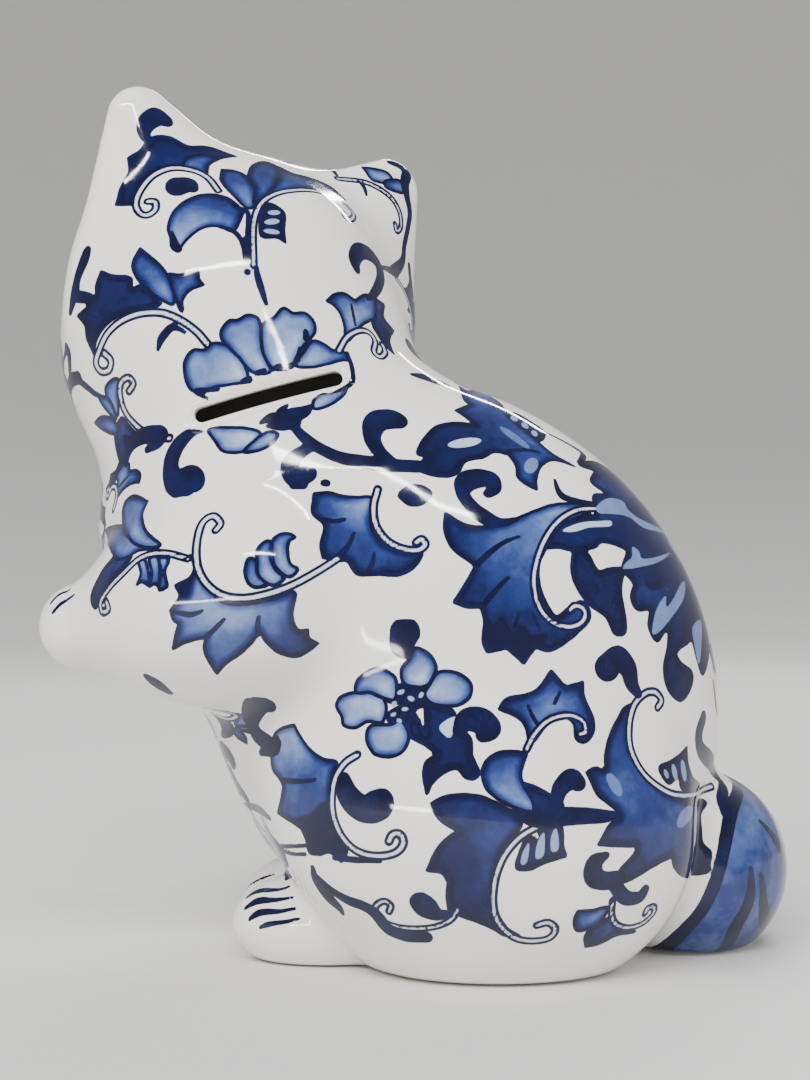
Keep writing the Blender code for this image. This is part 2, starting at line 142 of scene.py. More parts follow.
def turn_about_y(degrees):
    angle = math.radians(degrees)
    c, s = math.cos(angle), math.sin(angle)
    return np.array([[c, 0.0, s], [0.0, 1.0, 0.0], [-s, 0.0, c]])


def head_axes():
    """The head's own right, forward and crown directions, as columns."""
    angle = math.radians(HEAD_FACING)
    lean = math.radians(HEAD_LEAN)
    forward = np.array([-math.cos(angle), math.sin(angle), 0.0])
    side = np.array([math.sin(angle), math.cos(angle), 0.0])
    up = np.array([0.0, 0.0, 1.0])
    right = side * math.cos(lean) - up * math.sin(lean)
    crown = up * math.cos(lean) + side * math.sin(lean)
    return np.stack([right, forward, crown], axis=1)


HEAD_AXES = head_axes()
IDENTITY = np.eye(3)


def head_point(right, forward, up):
    return np.array(HEAD_CENTRE) + HEAD_AXES @ np.array([right, forward, up])


def ellipsoid(p, centre, radii, axes):
    q = (p - np.array(centre)) @ axes
    r = np.array(radii)
    k0 = np.sqrt(((q / r) ** 2).sum(axis=1)) + 1e-9
    k1 = np.sqrt(((q / (r * r)) ** 2).sum(axis=1)) + 1e-9
    return k0 * (k0 - 1.0) / k1


def round_cone(p, start, end, r_start, r_end):
    start = np.array(start)
    line = np.array(end) - start
    q = p - start
    t = np.clip(q @ line / (line @ line), 0.0, 1.0)
    off = q - t[:, None] * line
    return np.sqrt((off * off).sum(axis=1)) - (r_start + t * (r_end - r_start))


def ball_hull(p, start, end, r_start, r_end, flat_axis, flatness):
    """The straight-sided hull of two balls, flattened along one axis."""
    q = p - np.array(start)
    q = q + np.outer((q @ flat_axis) * (flatness - 1.0), flat_axis)
    line = np.array(end) - np.array(start)
    line = line + (line @ flat_axis) * (flatness - 1.0) * flat_axis
    length2 = line @ line
    taper = r_start - r_end
    side2 = length2 - taper * taper
    y = q @ line
    z = y - length2
    off = q * length2 - np.outer(y, line)
    x2 = (off * off).sum(axis=1)
    y2 = y * y * length2
    z2 = z * z * length2
    limit = math.copysign(taper * taper, taper) * x2
    reach = (np.sqrt(x2 * side2 / length2) + y * taper) / length2 - r_start
    reach = np.where(np.sign(y) * side2 * y2 < limit, np.sqrt(x2 + y2) / length2 - r_start, reach)
    reach = np.where(np.sign(z) * side2 * z2 > limit, np.sqrt(x2 + z2) / length2 - r_end, reach)
    return reach / (0.5 * (1.0 + flatness))


def blend(a, b, width):
    h = np.clip(0.5 + 0.5 * (b - a) / width, 0.0, 1.0)
    return b + (a - b) * h - width * h * (1.0 - h)


def mirrored(point, side):
    return (point[0], point[1] * side, point[2])


def ear_line(side):
    root = head_point(EAR_ROOT[0] * side, EAR_ROOT[1], EAR_ROOT[2])
    tip = head_point(EAR_TIP[0] * side, EAR_TIP[1], EAR_TIP[2])
    return root, tip


def core_field(p):
    """Torso, thighs, seat, neck and head: everything that is round the cavity."""
    torso = blend(
        ellipsoid(p, RUMP[0], RUMP[1], turn_about_y(RUMP[2])),
        ellipsoid(p, CHEST[0], CHEST[1], turn_about_y(CHEST[2])),
        CHEST_BLEND,
    )
    lean = turn_about_y(THIGH_TILT)
    thighs = blend(
        ellipsoid(p, mirrored(THIGH_CENTRE, -1), THIGH_RADII, lean),
        ellipsoid(p, THIGH_CENTRE, THIGH_RADII, lean),
        THIGH_MIDDLE_BLEND,
    )
    torso = blend(torso, thighs, THIGH_BLEND)
    torso = blend(torso, ellipsoid(p, SEAT[0], SEAT[1], IDENTITY), SEAT_BLEND)
    neck = round_cone(p, NECK_BOTTOM, NECK_TOP, NECK_RADII[0], NECK_RADII[1])
    head = ellipsoid(p, HEAD_CENTRE, HEAD_RADII, HEAD_AXES)
    for side in (-1, 1):
        x, y, z = CHEEK_OFFSET
        cheek = ellipsoid(p, head_point(x * side, y, z), CHEEK_RADII, HEAD_AXES)
        head = blend(head, cheek, CHEEK_BLEND)
        ear = ball_hull(p, *ear_line(side), *EAR_RADII, HEAD_AXES[:, 1], EAR_FLATNESS)
        head = blend(head, ear, EAR_BLEND)
    muzzle = ellipsoid(p, head_point(*MUZZLE_OFFSET), MUZZLE_RADII, HEAD_AXES)
    head = blend(head, muzzle, MUZZLE_BLEND)
    return blend(blend(torso, neck, NECK_BLEND), head, HEAD_BLEND)


def foreleg_field(p, side):
    shoulder, elbow, paw = [mirrored(q, side) for q in (SHOULDER, ELBOW, FOREPAW)]
    r_shoulder, r_elbow, r_paw = FORELEG_RADII
    upper = round_cone(p, shoulder, elbow, r_shoulder, r_elbow)
    lower = round_cone(p, elbow, paw, r_elbow - LOWER_LEG_STEP, r_paw)
    return blend(upper, lower, ELBOW_BLEND)


def smooth_run(points, closed, steps=5):
    """Catmull-Rom samples through every point."""
    n = len(points)
    if n < 3 and not closed:
        return points
    out = []
    count = n if closed else n - 1
    for i in range(count):
        if closed:
            a, b, c, d = [points[(i + k) % n] for k in (-1, 0, 1, 2)]
        else:
            b, c = points[i], points[i + 1]
            a = points[i - 1] if i > 0 else 2.0 * b - c
            d = points[i + 2] if i + 2 < n else 2.0 * c - b
        for t in np.arange(steps) / steps:
            out.append(
                0.5 * (2.0 * b + (c - a) * t + (2.0 * a - 5.0 * b + 4.0 * c - d) * t * t
                       + (3.0 * b - a - 3.0 * c + d) * t ** 3)
            )
    if not closed:
        out.append(points[-1])
    return np.array(out)


TAIL_PATH = [
    (row[:3], row[3] - TAIL_TRIM)
    for row in smooth_run(np.array([(*place, radius) for place, radius in TAIL_LINE]), False, 3)
]


def tail_field(p):
    total = None
    for (a, ra), (b, rb) in zip(TAIL_PATH[:-1], TAIL_PATH[1:]):
        piece = round_cone(p, a, b, ra, rb)
        total = piece if total is None else blend(total, piece, TAIL_BLEND)
    return total


def whole_field(p):
    """Every casting fused into one skin, cut flat at the table with a soft edge."""
    total = core_field(p)
    for side in (-1, 1):
        total = blend(total, foreleg_field(p, side), FORELEG_BLEND)
        paw = ellipsoid(p, mirrored(HIND_PAW_CENTRE, side), HIND_PAW_RADII, IDENTITY)
        total = blend(total, paw, HIND_PAW_BLEND)
    total = blend(total, tail_field(p), TAIL_BLEND)
    return -blend(-total, p[:, 2], TABLE_EDGE)


def cavity_field(p):
    wall = core_field(p) + WALL
    floor = CAVITY_FLOOR - p[:, 2]
    return -blend(-wall, -floor, CAVITY_EDGE)


# ------------------------------------------------------------- making the mesh
def slot_axes():
    normal = unit(np.array(SLOT_NORMAL))
    along = np.array(SLOT_DIRECTION)
    along = unit(along - normal * (along @ normal))
    return along, np.cross(normal, along), normal


SLOT_AXES = slot_axes()


def slot_distance(p):
    """How far each point lies outside the slot's outline; 1 m for points far from the slot's plane."""
    along, across, normal = SLOT_AXES
    q = p - SLOT_CENTRE
    half = 0.5 * (SLOT_LENGTH - SLOT_WIDTH)
    u = q @ along
    u = u - np.clip(u, -half, half)
    v = q @ across
    far = np.abs(q @ normal) > SLOT_REACH
    return np.where(far, 1.0, np.sqrt(u * u + v * v) - 0.5 * SLOT_WIDTH)


def skin_field(p):
    """The outer surface with the bevelled sinking round the slot."""
    w = np.clip(slot_distance(p) / BEVEL_WIDTH, 0.0, 1.0)
    sink = BEVEL_DEPTH * (1.0 - w * w * (3.0 - 2.0 * w))
    return whole_field(p) + sink


def ball_chain(start, end, r_start, r_end, count=7):
    start, end = np.array(start), np.array(end)
    balls = []
    for t in np.linspace(0.0, 1.0, count):
        r = r_start + t * (r_end - r_start)
        balls.append((start + t * (end - start), (r, r, r), IDENTITY))
    return balls


def core_balls():
    balls = [
        (RUMP[0], RUMP[1], turn_about_y(RUMP[2])),
        (CHEST[0], CHEST[1], turn_about_y(CHEST[2])),
        (SEAT[0], SEAT[1], IDENTITY),
        (HEAD_CENTRE, HEAD_RADII, HEAD_AXES),
        (head_point(*MUZZLE_OFFSET), MUZZLE_RADII, HEAD_AXES),
    ]
    balls += ball_chain(NECK_BOTTOM, NECK_TOP, NECK_RADII[0], NECK_RADII[1])
    for side in (-1, 1):
        lean = turn_about_y(THIGH_TILT)
        balls.append((mirrored(THIGH_CENTRE, side), THIGH_RADII, lean))
        x, y, z = CHEEK_OFFSET
        balls.append((head_point(x * side, y, z), CHEEK_RADII, HEAD_AXES))
        root, tip = ear_line(side)
        for t in np.linspace(0.0, 1.0, 9):
            r = EAR_RADII[0] + t * (EAR_RADII[1] - EAR_RADII[0])
            balls.append((root + t * (tip - root), (r, r / EAR_FLATNESS, r), HEAD_AXES))
    return balls


def limb_balls():
    balls = []
    for side in (-1, 1):
        shoulder, elbow, paw = [mirrored(q, side) for q in (SHOULDER, ELBOW, FOREPAW)]
        r_shoulder, r_elbow, r_paw = FORELEG_RADII
        balls += ball_chain(shoulder, elbow, r_shoulder, r_elbow)
        balls += ball_chain(elbow, paw, r_elbow - LOWER_LEG_STEP, r_paw)
        balls.append((mirrored(HIND_PAW_CENTRE, side), HIND_PAW_RADII, IDENTITY))
    for (a, ra), (b, rb) in zip(TAIL_PATH[:-1], TAIL_PATH[1:]):
        balls += ball_chain(a, b, ra, rb, 3)
    return balls


def shrunken(balls, amount):
    """The balls that are still there when every radius is smaller by the amount."""
    least_radius = 0.004
    kept = []
    for centre, radii, axes in balls:
        smaller = tuple(r - amount for r in radii)
        if min(smaller) > least_radius:
            kept.append((centre, smaller, axes))
    return kept


def link(data, name):
    obj = bpy.data.objects.new(name, data)
    bpy.context.scene.collection.objects.link(obj)
    return obj


def finished(bm, name):
    bmesh.ops.recalc_face_normals(bm, faces=bm.faces)
    mesh = bpy.data.meshes.new(name)
    bm.to_mesh(mesh)
    bm.free()
    return link(mesh, name)


def bake(obj):
    """Applies the object's modifiers to its mesh."""
    graph = bpy.context.evaluated_depsgraph_get()
    graph.update()
    mesh = bpy.data.meshes.new_from_object(obj.evaluated_get(graph))
    obj.modifiers.clear()
    old = obj.data
    obj.data = mesh
    bpy.data.meshes.remove(old)


def points_of(mesh):
    flat = np.empty(len(mesh.vertices) * 3)
    mesh.vertices.foreach_get("co", flat)
    return flat.reshape(-1, 3)


def slope_of(field, p, reach=0.0002):
    slope = np.empty_like(p)
    for axis in range(3):
        shift = np.zeros(3)
        shift[axis] = reach
        slope[:, axis] = (field(p + shift) - field(p - shift)) / (2.0 * reach)
    return slope


def settle(mesh, field):
    """Moves every vertex onto the surface where the field is zero."""
    p = points_of(mesh)
    for _ in range(SETTLE_STEPS):
        slope = slope_of(field, p)
        size = np.maximum((slope * slope).sum(axis=1), LEAST_SLOPE)
        move = field(p)[:, None] * slope / size[:, None]
        length = np.linalg.norm(move, axis=1)[:, None]
        p = p - move * np.minimum(1.0, LONGEST_MOVE / np.maximum(length, 1e-9))
    mesh.vertices.foreach_set("co", p.ravel())
    mesh.update()


def unit_ball():
    bm = bmesh.new()
    bmesh.ops.create_uvsphere(bm, u_segments=32, v_segments=20, radius=1.0)
    points = np.array([v.co for v in bm.verts])
    faces = [[v.index for v in face.verts] for face in bm.faces]
    bm.free()
    return points, faces


def skin(name, balls, field, voxel):
    """One closed skin round overlapping balls, then settled onto the form."""
    points, faces = unit_ball()
    all_points, all_faces = [], []
    for k, (centre, radii, axes) in enumerate(balls):
        all_points.append((points * np.array(radii)) @ np.array(axes).T + np.array(centre))
        all_faces += [[i + k * len(points) for i in face] for face in faces]
    mesh = bpy.data.meshes.new(name)
    mesh.from_pydata(np.concatenate(all_points).tolist(), [], all_faces)
    obj = link(mesh, name)
    remesh = obj.modifiers.new("Remesh", "REMESH")
    remesh.mode = "VOXEL"
    remesh.voxel_size = voxel
    bake(obj)
    settle(obj.data, field)
    return obj


def lathe(name, profile, centre, segments):
    """A profile of (radius, height) pairs turned about a vertical axis."""
    bm = bmesh.new()
    rings = []
    for radius, height in profile:
        if radius < 1e-6:
            rings.append([bm.verts.new((centre[0], centre[1], height))])
            continue
        ring = []
        for k in range(segments):
            angle = 2.0 * math.pi * k / segments
            x = centre[0] + radius * math.cos(angle)
            y = centre[1] + radius * math.sin(angle)
            ring.append(bm.verts.new((x, y, height)))
        rings.append(ring)
    for lower, upper in zip(rings[:-1], rings[1:]):
        for k in range(segments):
            j = (k + 1) % segments
            if len(lower) == 1:
                bm.faces.new((lower[0], upper[j], upper[k]))
            elif len(upper) == 1:
                bm.faces.new((lower[k], lower[j], upper[0]))
            else:
                bm.faces.new((lower[k], lower[j], upper[j], upper[k]))
    return finished(bm, name)


def slot_prism(name):
    """The slot's outline on the surface, carried out and in along SLOT_CUT, which points outward."""
    along, across, _ = SLOT_AXES
    half = 0.5 * (SLOT_LENGTH - SLOT_WIDTH)
    r = 0.5 * SLOT_WIDTH
    count = 48
    outer_end, inner_end = 0.010, -0.016
    bm = bmesh.new()
    rings = []
    for depth in (outer_end, inner_end):
        ring = []
        for k in range(count):
            angle = 2.0 * math.pi * k / count
            u = r * math.cos(angle) + math.copysign(half, math.cos(angle))
            v = r * math.sin(angle)
            ring.append(bm.verts.new(SLOT_CENTRE + u * along + v * across + depth * SLOT_CUT))
        rings.append(ring)
    for k in range(count):
        j = (k + 1) % count
        bm.faces.new((rings[0][k], rings[0][j], rings[1][j], rings[1][k]))
    bm.faces.new(rings[0])
    bm.faces.new(rings[1][::-1])
    return finished(bm, name)


def cut(obj, tool):
    """Takes the tool's solid out of the object, and the tool out of the scene."""
    boolean = obj.modifiers.new("Cut", "BOOLEAN")
    boolean.operation = "DIFFERENCE"
    boolean.solver = "MANIFOLD"
    boolean.object = tool
    bake(obj)
    bpy.data.objects.remove(tool, do_unlink=True)


# ----------------------------------------------------------- flat drawing tools
def read_points(text):
    """'x z, x z!, ...' to rows; a mark means a sharp corner."""
    rows, corners = [], []
    for word in text.split(","):
        word = word.strip()
        corners.append(word.endswith("!"))
        rows.append([float(v) for v in word.rstrip("!").split()])
    return np.array(rows), corners


def outline(points, corners):
    """A closed outline, smooth except at its corners."""
    marks = [i for i, sharp in enumerate(corners) if sharp]
    if not marks:
        return smooth_run(points, True)
    parts = []
    for k, start in enumerate(marks):
        stop = marks[(k + 1) % len(marks)]
        if stop <= start:
            stop += len(points)
        run = np.array([points[i % len(points)] for i in range(start, stop + 1)])
        parts.append(smooth_run(run, False)[:-1])
    return np.concatenate(parts)


def inside_distance(q, ring):
    """Signed distance to a closed outline: negative inside."""
    best = np.full(len(q), 1e9)
    inside = np.zeros(len(q), bool)
    for a, b in zip(ring, np.roll(ring, -1, axis=0)):
        e = b - a
        w = q - a
        t = np.clip(w @ e / max(e @ e, 1e-9), 0.0, 1.0)
        off = w - t[:, None] * e
        best = np.minimum(best, (off * off).sum(axis=1))
        crosses = (a[1] > q[:, 1]) != (b[1] > q[:, 1])
        if abs(e[1]) > 1e-9:
            x = a[0] + (q[:, 1] - a[1]) * e[0] / e[1]
            inside ^= crosses & (q[:, 0] < x)
    return np.sqrt(best) * np.where(inside, -1.0, 1.0)


def stroke_distance(q, path):
    """Distance to a brush stroke given as rows of x, z, radius: a chain of hulls of two discs."""
    best = np.linalg.norm(q - path[0, :2], axis=1) - path[0, 2]
    for a, b in zip(path[:-1], path[1:]):
        e = b[:2] - a[:2]
        length = max(np.linalg.norm(e), 1e-6)
        e = e / length
        w = q - a[:2]
        along = w @ e
        aside = np.abs(w[:, 0] * e[1] - w[:, 1] * e[0])
        taper = np.clip((a[2] - b[2]) / length, -0.98, 0.98)
        lean = math.sqrt(1.0 - taper * taper)
        k = lean * along - taper * aside
        reach = aside * lean + along * taper - a[2]
        reach = np.where(k < 0.0, np.hypot(aside, along) - a[2], reach)
        reach = np.where(k > lean * length, np.hypot(aside, along - length) - b[2], reach)
        best = np.minimum(best, reach)
    return best


